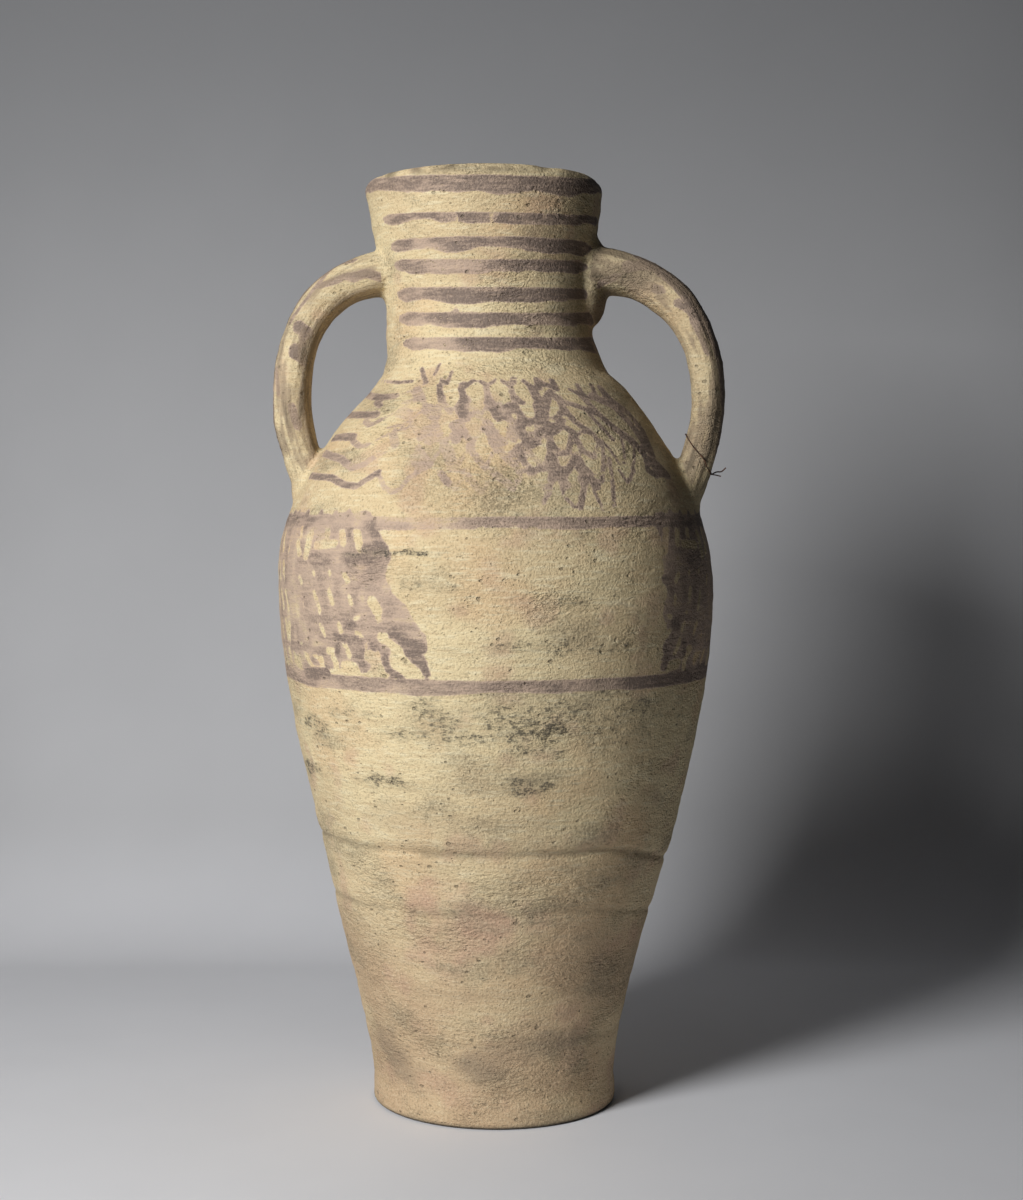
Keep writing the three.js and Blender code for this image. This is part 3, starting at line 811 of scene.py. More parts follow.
    left_dabs: tuple[Stroke, ...] = strokes(
        (2.9, 0.75, 55, 90, 46, 92, 40, 110), (2.4, 0.5, 76, 58, 69, 72, 61, 78, 56, 94),
        (2, 0.55, 62, 12, 52, 38), (1.6, 0.5, 104, 38, 87, 50, 74, 40, 62, 12),
        (3.8, 0.7, 105, 72, 107, 108), (5.1, 0.8, 121, 88, 122, 102), (2, 0.6, 111, 98, 128, 122),
        (2.9, 0.5, 158, 92, 171, 102), (1.6, 0.4, 133, 32, 150, 48),
        (3.6, 0.6, 60, 0, 110, -8, 150, 0, 185, 4), (4, 0.5, 80, -70, 110, -95, 150, -60),
    )
    right_dabs: tuple[Stroke, ...] = strokes(
        (3.8, 0.35, 51, 74, 61, 50), (2.7, 0.4, 73, 98, 78, 90),
        (4.4, 0.75, 52, 12, 70, 42, 87, 50, 104, 48, 123, 30, 139, 26, 160, 20),
        (2.9, 0.6, 91, 86, 100, 70, 113, 70), (2.4, 0.5, 107, 80, 128, 74),
        (2, 0.6, 35, 126, 45, 108), (4.6, 0.8, 60, -10, 115, 0, 135, -2, 155, 10, 190, 10),
        (4, 0.5, 90, -60, 120, -90, 160, -70),
    )
    upright_outline: tuple[tuple[float, float], ...] = (
        (-92, 398), (-34, 397.5), (-33, 372), (-34, 347), (-33.5, 320), (-36, 293), (-92, 293),
    )
    panels: tuple[tuple[float, bool], ...] = ((-86.0, True), (98.0, False))
    panel_drawn_at: float = 86.0
    panel_radius: float = 146.0
    panel_load: float = 0.43
    panel_seed: int = 23
    fray: float = 9.0
    fray_size: float = 14.0
    fray_middle: float = 0.62
    wash_size: float = 16.0
    wash_spread: tuple[float, float] = (0.55, 0.9)
    front_edge: float = -34.0
    far_gap_rows: int = 5
    far_gap_count: int = 4
    far_gap_first: tuple[float, float] = (-70.0, 384.0)
    far_gap_pitch: tuple[float, float] = (-5.5, -19.0)
    far_gap_shift: float = -2.0
    far_gap_run: tuple[float, float] = (1.8, -10.0)
    far_gap_half_width: float = 2.1
    gap_spread: float = 0.5
    brush_spread: float = 0.3
    brush_reach: float = 60.0
    shoulder: tuple[float, float] = (392.0, 500.0)
    belly: tuple[float, float] = (284.0, 402.0)
    bare_load: float = 0.3
    soft_edge: tuple[float, float] = (-2.0, 0.6)
    dab_share: float = 1.25
    degree_round_handle: float = 0.24
    widest: float = 9.0

    def zigzags(self) -> list[Stroke]:
        """The rows of slanting waves: faded at the front, plainer round the hidden side."""
        dice = np.random.default_rng(self.row_seed)
        made = []
        for row, (top, drop, first, last, pitch, load) in enumerate(self.rows):
            for i in range(round((last - first) / pitch)):
                start = first + (i + self.row_shift * row) * pitch + dice.uniform(-1, 1)
                deep = drop * dice.uniform(*self.drop_spread)
                valley = (start + pitch * self.valley_share, top - deep)
                fresh = load * dice.uniform(*self.fresh_spread)
                down_width = dice.uniform(*self.down_half_width)
                made.append(Stroke(((start, top), valley), down_width, fresh))
                crest = (start + pitch, top + dice.uniform(-1, 2))
                up_width = dice.uniform(*self.up_half_width)
                made.append(Stroke((valley, crest), up_width, fresh * self.up_share))
        return made

    def far_gaps(self) -> list[Stroke]:
        """The even gaps of a panel's far half, which the photograph shows only edge on."""
        made = []
        for row in range(self.far_gap_rows):
            for i in range(self.far_gap_count):
                shift = self.far_gap_shift * (row % 2)
                start = (self.far_gap_first[0] + self.far_gap_pitch[0] * i + shift,
                         self.far_gap_first[1] + self.far_gap_pitch[1] * row)
                end = (start[0] + self.far_gap_run[0], start[1] + self.far_gap_run[1])
                made.append(Stroke((start, end), self.far_gap_half_width, 0.0))
        return made

    def panel(self, spot: np.ndarray, centre: float, wide: bool) -> tuple[np.ndarray, np.ndarray]:
        """One side panel: a thin wash with light gaps left in it and darker strokes over it.

        Args:
            spot: (azimuth in degrees, height in mm) places, one a row.
            centre: The azimuth of the panel's middle, beneath a handle.
            wide: Whether its sides slant out below, as the left one's do, or are upright.

        Returns:
            How far each place is inside the paint, in mm, and the paint's opacity there.
        """
        across = np.abs(around(spot[:, 0], centre))
        flat_scale = np.array([math.radians(self.panel_radius), 1.0])
        flat = np.stack([across - self.panel_drawn_at, spot[:, 1]], axis=1) * flat_scale
        corners = self.panel_outline if wide else self.upright_outline
        ring = np.array(corners) * flat_scale
        reach, inside = np.full(len(flat), 1e3), np.zeros(len(flat), bool)
        for a, b in zip(ring, np.roll(ring, -1, axis=0)):
            reach = np.minimum(reach, segment_reach(flat, a, b))
            if a[1] != b[1]:
                crosses = (a[1] > flat[:, 1]) != (b[1] > flat[:, 1])
                inside ^= crosses & (
                    flat[:, 0] < (b[0] - a[0]) * (flat[:, 1] - a[1]) / (b[1] - a[1]) + a[0])
        away = np.stack([flat[:, 0], flat[:, 1], flat[:, 0] * 0], axis=1)
        clouds = Lattice(self.panel_seed)
        edge = np.where(inside, reach, -reach)
        edge += self.fray * (clouds.cloud(away, self.fray_size) - self.fray_middle)
        least, spread = self.wash_spread
        drawn_down = away * (2.2, 0.7, 1)
        load = self.panel_load * (least + spread * clouds.cloud(drawn_down, self.wash_size))
        for gap in (*self.panel_gaps, *self.far_gaps()):
            edge = np.minimum(edge, -self.within(flat, gap, self.gap_spread, flat_scale))
        for stroke in self.panel_strokes:
            if wide or max(azimuth for azimuth, _ in stroke.points) < self.front_edge:
                edge, load = self.painted(flat, edge, load, stroke, flat_scale)
        return edge, load

    @staticmethod
    def within(flat: np.ndarray, stroke: Stroke, spread: float, scale: np.ndarray) -> np.ndarray:
        """How far each place is inside a stroke, below 0 outside it.

        Args:
            flat: Places on the flattened sheet, in mm.
            stroke: The stroke.
            spread: How much wider than drawn it came out, in mm.
            scale: What turns its points into mm.

        Returns:
            The distance inside its edge, in mm.
        """
        inside = np.full(len(flat), -1e3)
        for a, b in zip(stroke.points, stroke.points[1:]):
            reach = segment_reach(flat, np.array(a) * scale, np.array(b) * scale)
            inside = np.maximum(inside, stroke.half_width + spread - reach)
        return inside

    def laid(self, edge: np.ndarray, load: np.ndarray, inside: np.ndarray,
             strength: np.ndarray | float) -> tuple[np.ndarray, np.ndarray]:
        """Lays fresh paint over what is there.

        Args:
            edge: How far each place is inside the paint so far, in mm.
            load: The paint's opacity so far.
            inside: How far each is inside the fresh paint.
            strength: The fresh paint's opacity.

        Returns:
            The new distance inside the paint and the new opacity.
        """
        share = eased(*self.soft_edge, inside)
        fresh = np.where(edge < self.soft_edge[0], strength, np.maximum(load, strength))
        return np.maximum(edge, inside), load + (fresh - load) * share

    def painted(self, flat: np.ndarray, edge: np.ndarray, load: np.ndarray, stroke: Stroke,
                scale: np.ndarray, share: float = 1.0) -> tuple[np.ndarray, np.ndarray]:
        """Adds one stroke to what is painted so far.

        Args:
            flat: Places on the flattened sheet, in mm.
            edge: How far each is inside the paint so far, in mm.
            load: The paint's opacity so far.
            stroke: The stroke.
            scale: What turns its points into mm.
            share: What its opacity is multiplied by.

        Returns:
            The new distance inside the paint and the new opacity.
        """
        inside = self.within(flat, stroke, self.brush_spread, scale)
        return self.laid(edge, load, inside, stroke.load * share)

    def on_wall(self, azimuth: np.ndarray, height: np.ndarray,
                wall: Wall) -> tuple[np.ndarray, np.ndarray]:
        """The strokes on the body.

        Args:
            azimuth: Degrees round from the front, at each place.
            height: The height in mm.
            wall: The jar's wall, for its radius and slope.

        Returns:
            How far each place is inside the paint, in mm, and the paint's opacity there.
        """
        spot = np.stack([azimuth, height], axis=1)
        edge = np.full(len(spot), -self.widest)
        load = np.full(len(spot), self.bare_load)
        shoulder = np.flatnonzero((height > self.shoulder[0]) & (height < self.shoulder[1]))
        for stroke in (*self.faded, *self.waves, *self.net, *self.dark_net, *self.hooks,
                       *self.zigzags()):
            middle = np.mean(np.array(stroke.points), axis=0)
            radius = float(wall.radius(middle[1]))
            rise = float(wall.radius(middle[1] + 2) - wall.radius(middle[1] - 2)) / 4
            scale = np.array([math.radians(radius), math.hypot(1, rise)])
            local = spot[shoulder].copy()
            local[:, 0] = middle[0] + around(local[:, 0], middle[0])
            near = np.abs((local - middle) * scale).max(axis=1) < self.brush_reach
            pick = shoulder[near]
            edge[pick], load[pick] = self.painted(
                local[near] * scale, edge[pick], load[pick], stroke, scale)
        belly = np.flatnonzero((height > self.belly[0]) & (height < self.belly[1]))
        for centre, wide in self.panels:
            inside, strength = self.panel(spot[belly], centre, wide)
            more = inside > edge[belly]
            edge[belly] = np.where(more, inside, edge[belly])
            load[belly] = np.where(more, strength, load[belly])
        sheet = np.stack([azimuth, height, height * 0], axis=1)
        waver = self.waver * (Lattice(self.waver_seed).cloud(sheet, self.waver_size) - 0.5)
        for band in self.bands():
            radius = float(wall.radius(band.height))
            inside = band.inside(azimuth, height, waver, radius)
            edge, load = self.laid(edge, load, inside, stations(band.loads, around(azimuth, 0)))
        return np.clip(edge, -self.widest, self.widest), load

    def bands(self) -> list[Band]:
        """Every band, from the rim down, and the neck's a second time round its back."""
        made = list(self.full_bands)
        for height, width, rise, left, right in self.neck_bands:
            made.append(Band(height, width, self.neck_loads, rise, (left, right)))
            made.append(Band(height, width, even(self.neck_back_load),
                             rise * self.neck_back_rise, self.neck_back))
        return made

    def on_handle(self, side: Side, along: np.ndarray,
                  turn: np.ndarray) -> tuple[np.ndarray, np.ndarray]:
        """The dabs on one handle.

        Args:
            side: Which handle.
            along: The distance along it from the neck, in mm, at each place.
            turn: Degrees round it from its spine, towards the front.

        Returns:
            How far each place is inside the paint, in mm, and the paint's opacity there.
        """
        scale = np.array([1.0, self.degree_round_handle])
        flat = np.stack([along, turn], axis=1) * scale
        edge, load = np.full(len(flat), -self.widest), np.full(len(flat), self.bare_load)
        for dab in self.left_dabs if side is Side.LEFT else self.right_dabs:
            edge, load = self.painted(flat, edge, load, dab, scale, self.dab_share)
        return edge, load


@dataclass
class Skin:
    """What is known of each vertex: where it is, and what part of the clay it lies on."""

    places: np.ndarray
    azimuth: np.ndarray
    height: np.ndarray
    proud: np.ndarray
    bar: np.ndarray
    side: np.ndarray
    along: np.ndarray
    turn: np.ndarray
    mid_wall: float = -4.5
    above_base: float = 10.0

    @property
    def inside(self) -> np.ndarray:
        """Whether each vertex is on the hollow's side of the wall."""
        return (self.proud < self.mid_wall) & (self.height > self.above_base)


@dataclass(frozen=True)
class CoilJoints:
    """The creases between the coils of the lower body. Millimetres, degrees."""

    joints: tuple[tuple[float, float], ...] = (
        (56, 0.4), (89, 0.3), (144, 0.8), (184, 1.3), (224, 0.25))
    drops: tuple[tuple[float, float], ...] = (
        (18, 0), (56, -2), (89, -4), (144, -12), (184, -17), (224, -17), (300, 0))
    crease_width: float = 2.4
    proud_share: float = 0.45
    proud_above: float = 9.0
    proud_width: float = 6.0
    drop_from: float = 32.0
    drop_full: float = 85.0
    drop_fades: float = 110.0
    drop_ends: float = 170.0

    def sink(self, height: np.ndarray, azimuth: np.ndarray) -> np.ndarray:
        """How far the wall sinks at the creases, in mm, with each coil above standing proud."""
        side = eased(self.drop_from, self.drop_full, azimuth)
        side = side * (1 - eased(self.drop_fades, self.drop_ends, azimuth))
        total = np.zeros(len(height))
        for level, depth in self.joints:
            drop = float(stations(self.drops, np.array([level]))[0])
            off = height - level - drop * side
            proud = self.proud_share * depth * np.exp(
                -((off - self.proud_above) / self.proud_width) ** 2)
            total += depth * np.exp(-(off / self.crease_width) ** 2) - proud
        return total


@dataclass(frozen=True)
class Stain:
    """A patch on the wall: its middle and half sizes (degrees, mm), and how strong it is."""

    azimuth: float
    height: float
    across: float
    up: float
    strength: float
    span: tuple[float, float] = (1.15, 0.4)
    fray: float = 1.5

    def lies(self, azimuth: np.ndarray, height: np.ndarray, ragged: np.ndarray) -> np.ndarray:
        """How strong the patch is at each place, with its edge frayed by a noise."""
        sideways = around(azimuth, self.azimuth) / self.across
        off = np.hypot(sideways, (height - self.height) / self.up)
        return eased(*self.span, off + (ragged - 0.5) * self.fray) * self.strength


@dataclass(frozen=True)
class Patches:
    """Cloudy patches: their seed, the largest one's size in mm, and where they start and fill."""

    seed: int
    size: float
    start: float
    full: float
    layers: int = 3
    flat: float = 1.0

    def lie(self, places: np.ndarray) -> np.ndarray:
        """How strong the patches are at each place, from 0 to 1."""
        clouds = Lattice(self.seed).cloud(places, self.size, self.layers, self.flat)
        return eased(self.start, self.full, clouds)


@dataclass(frozen=True)
class Weathering:
    """Where age has marked the clay: earth stains, smears, haze, pink and worn patches; with
    painted shade.

    Spans are in mm of height or degrees round from the front, and shares are opacities.
    """

    stains: tuple[Stain, ...] = (
        Stain(6, 270, 34, 18, 0.62), Stain(12, 262, 18, 9, 0.9), Stain(-10, 260, 24, 7, 0.6),
        Stain(10, 230, 11, 6, 0.72), Stain(-27, 229, 14, 4.5, 1.0), Stain(24, 268, 22, 22, 0.5),
        Stain(9, 252, 12, 5, 0.9), Stain(30, 347, 3.2, 2.6, 0.60), Stain(14, 315, 22, 5, 0.6),
        Stain(30, 150, 26, 50, 0.30), Stain(-20, 190, 40, 14, 0.22),
        Stain(-24, 372, 14, 2.6, 0.9), Stain(-18, 352, 7, 4, 0.55), Stain(18, 343, 9, 3.5, 0.5),
        Stain(24, 318, 10, 5, 0.4), Stain(-60, 262, 12, 7, 0.7), Stain(-68, 229, 12, 7, 0.9),
        Stain(40, 276, 12, 7, 0.6), Stain(-40, 272, 12, 5, 0.5), Stain(-14, 150, 6, 9, 0.45),
        Stain(150, 280, 30, 12, 0.6), Stain(-140, 255, 18, 9, 0.7), Stain(175, 205, 16, 8, 0.5),
        Stain(120, 330, 14, 6, 0.4),
    )
    smears: tuple[Stain, ...] = (
        Stain(-8, 40, 17, 17, 0.60), Stain(-52, 40, 16, 20, 0.55), Stain(8, 52, 10, 9, 0.35),
        Stain(34, 58, 18, 9, 0.45), Stain(-20, 205, 30, 8, 0.18), Stain(10, 190, 30, 7, 0.18),
        Stain(160, 60, 34, 20, 0.5), Stain(-120, 110, 22, 24, 0.35),
    )
    blush: Stain = Stain(-6, 138, 22, 26, 1.0)
    mottle: Patches = Patches(32, 72, 0.25, 0.75, 4, 1.4)
    orange: Patches = Patches(33, 48, 0.50, 0.80, 4)
    pink: Patches = Patches(34, 24, 0.66, 0.86)
    pink_share: float = 0.5
    rough: Patches = Patches(35, 42, 0.5, 0.75, 2, 1.6)
    wear: Patches = Patches(36, 30, 0.56, 0.84, 3, 1.8)
    handle_grime_and_shade: Patches = Patches(37, 8, 0.28, 0.74)
    lip: Patches = Patches(38, 16, 0.40, 0.66)
    crease_dirt_and_shade_patches: Patches = Patches(32, 30, 0.3, 0.62, 3, 0.4)
    ragged_seed: int = 31
    ragged_size: float = 13.0
    smooth_seed: int = 32
    smooth_size: float = 26.0
    haze_size: float = 36.0
    haze_span: tuple[float, float] = (0.52, 0.95)
    haze_right: float = 0.07
    haze_low: float = 0.03
    low_span: tuple[float, float] = (330.0, 200.0)
    right_starts: tuple[float, float] = (-20.0, 25.0)
    right_ends: tuple[float, float] = (150.0, 110.0)
    grip_turn: tuple[float, float] = (98.0, 132.0)
    grip_dirt_and_shade_shares: tuple[float, float] = (0.7, 0.245)
    handle_grime_and_shade_most: float = 1.2
    lip_span: tuple[float, float] = (611.5, 617.0)
    foot_dirt_and_shade_heights: tuple[float, float] = (4.5, 1.0)
    foot_dirt_and_shade_share: float = 0.9

    def fields(self, skin: "Skin", joints: CoilJoints) -> dict[str, np.ndarray]:
        """The marks at each vertex, 0 to 1, by name; the handle, crease and lip ones hold painted
        shade too.
        """
        places, azimuth, height = skin.places, skin.azimuth, skin.height
        fine, soft = Lattice(self.ragged_seed), Lattice(self.smooth_seed)
        ragged = fine.cloud(places, self.ragged_size, 3, 2.0)
        smooth = soft.cloud(places, self.smooth_size)
        right = eased(*self.right_starts, azimuth) * eased(*self.right_ends, azimuth)
        haze = fine.cloud(places, self.haze_size, 4, 2.0)
        haze += self.haze_right * right + self.haze_low * eased(*self.low_span, height)
        # Painted shade on each handle's grip side, with dirt there too; far heavier on the left
        # handle, whose grip side is turned from the lamp.
        grip_dirt_and_shade = eased(*self.grip_turn, np.abs(skin.turn))
        grip_dirt_and_shade = grip_dirt_and_shade * np.where(skin.side < 0, *self.grip_dirt_and_shade_shares)
        drawn = np.stack([skin.along * 0.26, skin.turn * 0.24, skin.side * 70.0], axis=1)
        # The coil creases darkened by their depth: soil kept in them, and painted shade in the
        # grooves.
        crease_dirt_and_shade = joints.sink(height, azimuth) * self.crease_dirt_and_shade_patches.lie(places)
        lip = eased(*self.lip_span, height) * self.lip.lie(places)
        return {
            "mottle": self.mottle.lie(places),
            "orange": self.orange.lie(places),
            "pink": np.maximum(self.blush.lies(azimuth, height, smooth),
                               self.pink_share * self.pink.lie(places)),
            "haze": eased(*self.haze_span, haze),
            "stain": np.max([s.lies(azimuth, height, ragged) for s in self.stains], axis=0),
            "smear": np.max([s.lies(azimuth, height, smooth) for s in self.smears], axis=0),
            "crease": np.clip(crease_dirt_and_shade, 0, 1),
            "rough": self.rough.lie(places),
            "wear": self.wear.lie(places),
            "handle_grime_and_shade": np.clip(self.handle_grime_and_shade.lie(drawn) + grip_dirt_and_shade, 0, self.handle_grime_and_shade_most) * skin.bar,
            # The lip mark also darkens the foot's bottom edge: dirt there, and painted contact
            # shade where the jar meets the floor.
            "lip": np.maximum(lip, eased(*self.foot_dirt_and_shade_heights, height) * self.foot_dirt_and_shade_share),
        }


@dataclass(frozen=True)
class Relief:
    """How far hand work and wear move the wall out. Millimetres, and degrees round the jar.

    A chip in the rim is its azimuth, its depth and its half width in degrees.
    """

    broad_seed: int = 3
    fine_seed: int = 4
    rough_seed: int = 9
    dents: tuple[float, float, float] = (0.55, 0.28, 0.20)
    dent_sizes: tuple[float, float, float] = (46.0, 21.0, 11.0)
    dent_flats: tuple[float, float] = (2.2, 2.6)
    ring_pitch: float = 11.5
    ring_depth: float = 0.16
    ring_wander: float = 1.4
    ring_wander_size: float = 60.0
    ring_span: tuple[float, float] = (486.0, 520.0)
    coil_starts: tuple[float, float] = (262.0, 236.0)
    coil_ends: tuple[float, float] = (20.0, 34.0)
    lump_depth: float = 0.5
    lump_size: float = 5.5
    lumps_lie: tuple[float, float] = (0.1, 0.7)
    lumps_size: float = 24.0
    lumps_flat: float = 1.6
    lump_span: tuple[float, float] = (330.0, 250.0)
    groove_depth: float = 0.42
    groove_count: int = 4
    groove_wander: float = 1.5
    groove_wander_size: float = 38.0
    fibre_size: float = 5.0
    fibre_depth: float = 0.3
    keel_depth: float = 0.9
    keel_turn: float = 128.0
    keel_width: float = 16.0
    rim_span: tuple[float, float] = (611.0, 617.0)
    rim_wave: float = 0.4
    rim_wave_size: float = 70.0
    chips: tuple[tuple[float, float, float], ...] = (
        (26, 1.1, 4.5), (31, 0.6, 3.0), (-64, 0.5, 4.0), (74, 0.5, 4.0), (140, 1.2, 5.0),
        (-131, 0.9, 7.0),
    )
    foot_fixed: float = 0.6

    def moved(self, skin: Skin, normals: np.ndarray, joints: CoilJoints) -> np.ndarray:
        """Where each vertex ends up.

        Args:
            skin: What is known of each vertex.
            normals: Its normal, one a row.
            joints: The creases between the coils.

        Returns:
            The new places in mm, one a row.
        """
        body, outside = 1 - skin.bar, np.where(skin.inside, 0.0, 1.0)
        seeds = (self.broad_seed, self.fine_seed, self.rough_seed)
        broad, fine, rough = (Lattice(seed) for seed in seeds)
        squashed = skin.places * (1, 1, self.dent_flats[0])
        out = self.dents[0] * broad.at(squashed, self.dent_sizes[0])
        out += self.dents[1] * fine.at(squashed, self.dent_sizes[1])
        small = broad.at(skin.places * (1, 1, self.dent_flats[1]), self.dent_sizes[2])
        out += self.dents[2] * small * outside
        wander = self.ring_wander * broad.at(skin.places, self.ring_wander_size)
        ridges = np.sin(skin.height * 2 * math.pi / self.ring_pitch + wander)
        out += self.ring_depth * ridges * eased(*self.ring_span, skin.height) * body
        lower = eased(*self.coil_starts, skin.height) * eased(*self.coil_ends, skin.height)
        out -= joints.sink(skin.height, skin.azimuth) * lower * outside
        lump = eased(*self.lumps_lie,
                     rough.at(skin.places * (1, 1, self.lumps_flat), self.lumps_size))
        lump = lump * self.lump_depth * fine.at(skin.places, self.lump_size)
        out += lump * outside * eased(*self.lump_span, skin.height)
        out += self.on_bar(skin, fine, rough) * skin.bar
        rim = eased(*self.rim_span, skin.height)
        for azimuth, depth, width in self.chips:
            away = around(skin.azimuth, azimuth) / width
            out -= depth * np.exp(-away ** 2) * rim * (0.7 + 0.3 * fine.at(skin.places, 3))
        moved = skin.places + normals * out[:, None] * eased(1.0, 5.0, skin.height)[:, None]
        wave = broad.at(skin.places * (1, 1, 0), self.rim_wave_size)
        moved[:, 2] += self.rim_wave * wave * rim
        moved[:, 2] = np.where(skin.height < self.foot_fixed, skin.height, moved[:, 2])
        return moved

    def on_bar(self, skin: Skin, fine: Lattice, rough: Lattice) -> np.ndarray:
        """The drawn grooves, fibres and keels along a handle, in mm."""
        down = np.stack([skin.along, skin.side * 90.0, skin.along * 0], axis=1)
        wander = self.groove_wander * rough.at(down, self.groove_wander_size)
        grooves = self.groove_depth * np.cos(self.groove_count * np.radians(skin.turn) + wander)
        drawn = np.stack([skin.along * 0.22, skin.turn * 0.3, skin.side * 40.0], axis=1)
        fibres = self.fibre_depth * fine.at(drawn, self.fibre_size)
        off_keel = (np.abs(skin.turn) - self.keel_turn) / self.keel_width
        return grooves + fibres + self.keel_depth * np.exp(-off_keel ** 2)


@dataclass
class StorageJar:
    """The jar itself: one piece of clay, hollow, with both handles. Millimetres and degrees."""

    wall: Wall = field(default_factory=Wall)
    joints: CoilJoints = field(default_factory=CoilJoints)
    paint: BrushWork = field(default_factory=BrushWork)
    age: Weathering = field(default_factory=Weathering)
    relief: Relief = field(default_factory=Relief)
    handles: tuple[Handle, ...] = (
        Handle(Side.LEFT, -86.0, 137.0, (118, 410), 12.4, 13.2,
               Pad(66, 559, 14, 21, 21), Pad(122, 411, 15, 25, 24)),
        Handle(Side.RIGHT, 81.0, 144.4, (124, 404), 11.2, 13.6,
               Pad(66, 554, 10.5, 31, 24), Pad(126, 406, 13, 26, 23)),
    )
    outside_turns: int = 144
    inside_turns: int = 120
    voxel: float = 1.7
    join_blend: int = 14
    join_factor: float = 0.6
    join_levels: int = 10
    join_reach: tuple[float, float] = (52.0, 34.0)
    join_proud: tuple[float, float] = (13.0, 6.0)
    join_inside: float = -4.0
    handle_heights: tuple[float, float] = (370.0, 600.0)
    bar_heights: tuple[float, float] = (380.0, 606.0)
    bar_proud: tuple[float, float] = (1.5, 5.0)
    bar_inside: float = -3.0
    chunk: int = 20000
    shoulder: tuple[float, float] = (394.0, 492.0)
    panels: tuple[float, float] = (290.0, 394.0)
    panels_from: float = 15.0
    inside_share: float = 0.07
    plain_share: float = 0.22
    painted_share: float = 0.33

    def skin(self, piece: bpy.types.Object) -> Skin:
        """Reads the jar's mesh against the wall and the handles' centre lines.

        Args:
            piece: The jar.

        Returns:
            What is known of each vertex.
        """
        places = points_of(piece) / MM
        height = places[:, 2]
        off_centre = places[:, 0] - self.wall.centre(height)
        round_wall = np.arctan2(off_centre, -places[:, 1])
        oval = self.wall.oval * np.cos(2 * round_wall - math.pi / 2)
        true_radius = self.wall.radius(height) + oval
        slope = (self.wall.radius(height + 1) - self.wall.radius(height - 1)) / 2
        proud = (np.hypot(off_centre, places[:, 1]) - true_radius) / np.hypot(1, slope)
        side = np.where(places[:, 0] < 0, -1, 1)
        low, high = self.bar_heights
        bar = eased(*self.bar_proud, proud) * (height > low) * (height < high)
        along, turn = np.zeros(len(places)), np.zeros(len(places))
        for handle in self.handles:
            low, high = self.handle_heights
            beside = (side == handle.sign) & (height > low) & (height < high)
            pick = np.flatnonzero(beside & (proud > self.bar_inside))
            s, c = handle.facing
            flat = np.stack([places[pick, 0] * s - places[pick, 1] * c, height[pick]], axis=1)
            front = (places[pick, 0] * c + places[pick, 1] * s) * -handle.sign
            line = handle.line()[::3]
            nearest = np.empty(len(pick), int)
            for start in range(0, len(pick), self.chunk):
                part = flat[start:start + self.chunk]
                nearest[start:start + self.chunk] = np.argmin(
                    ((part[:, None] - line[None]) ** 2).sum(axis=2), axis=1)
            tangent = np.gradient(line, axis=0)
            tangent /= np.linalg.norm(tangent, axis=1)[:, None]
            off = flat - line[nearest]
            out = -off[:, 0] * tangent[nearest, 1] + off[:, 1] * tangent[nearest, 0]
            width, thickness = handle.size(nearest / (len(line) - 1))
            length = np.linalg.norm(np.diff(line, axis=0), axis=1).sum()
            along[pick] = nearest / (len(line) - 1) * length
            turn[pick] = np.degrees(np.arctan2(front / width, out / thickness))
        azimuth = np.degrees(np.arctan2(places[:, 0], -places[:, 1]))
        return Skin(places, azimuth, height, proud, bar, side, along, turn)

    def blend_joins(self, piece: bpy.types.Object) -> None:
        """Smooths the clay where the handles meet the wall."""
        skin = self.skin(piece)
        weight = np.zeros(len(skin.height))
        for handle in self.handles:
            for pad in (handle.neck_pad, handle.shoulder_pad):
                s, c = handle.facing
                centre = np.array([pad.distance * s, -pad.distance * c, pad.height])
                reach = np.linalg.norm(skin.places - centre, axis=1)
                near = eased(*self.join_reach, reach) * (skin.side == handle.sign)
                weight = np.maximum(weight, near)
        weight *= eased(*self.join_proud, skin.proud) * (skin.proud > self.join_inside)
        group = piece.vertex_groups.new(name="joins")
        for level in range(1, self.join_levels + 1):
            pick = np.flatnonzero(np.round(weight * self.join_levels) == level)
            group.add(pick.tolist(), level / self.join_levels, "REPLACE")
        applied(piece, "SMOOTH", factor=self.join_factor, iterations=self.join_blend,
                vertex_group="joins")
        piece.vertex_groups.clear()

    def weather(self, piece: bpy.types.Object) -> None:
        """Moves the surface in and out: creases, dents, finger marks and chips in the rim."""
        skin = self.skin(piece)
        normals = np.empty(len(skin.height) * 3)
        piece.data.vertices.foreach_get("normal", normals)
        put_points(piece, self.relief.moved(skin, normals.reshape(-1, 3), self.joints) * MM)

    def thin(self, piece: bpy.types.Object) -> None:
        """Keeps the mesh fine where it is painted and makes it coarser inside and low down."""
        for part, share in enumerate((self.inside_share, self.plain_share, self.painted_share)):
            skin = self.skin(piece)
            height = skin.height
            shoulder = (height > self.shoulder[0]) & (height < self.shoulder[1])
            panels = (height > self.panels[0]) & (height < self.panels[1])
            panels &= np.abs(skin.azimuth) > self.panels_from
            painted = (shoulder | panels) & ~skin.inside
            chosen = (skin.inside, ~skin.inside & ~painted, painted)[part]
            take(piece)
            bpy.ops.object.mode_set(mode="EDIT")
            bpy.ops.mesh.select_all(action="DESELECT")
            bpy.ops.object.mode_set(mode="OBJECT")
            piece.data.vertices.foreach_set("select", chosen)
            bpy.ops.object.mode_set(mode="EDIT")
            bpy.ops.mesh.select_mode(type="VERT")
            bpy.ops.mesh.decimate(ratio=share)
            bpy.ops.object.mode_set(mode="OBJECT")
            LOG.info("%s: %d faces", piece.name, len(piece.data.polygons))
        applied(piece, "TRIANGULATE")

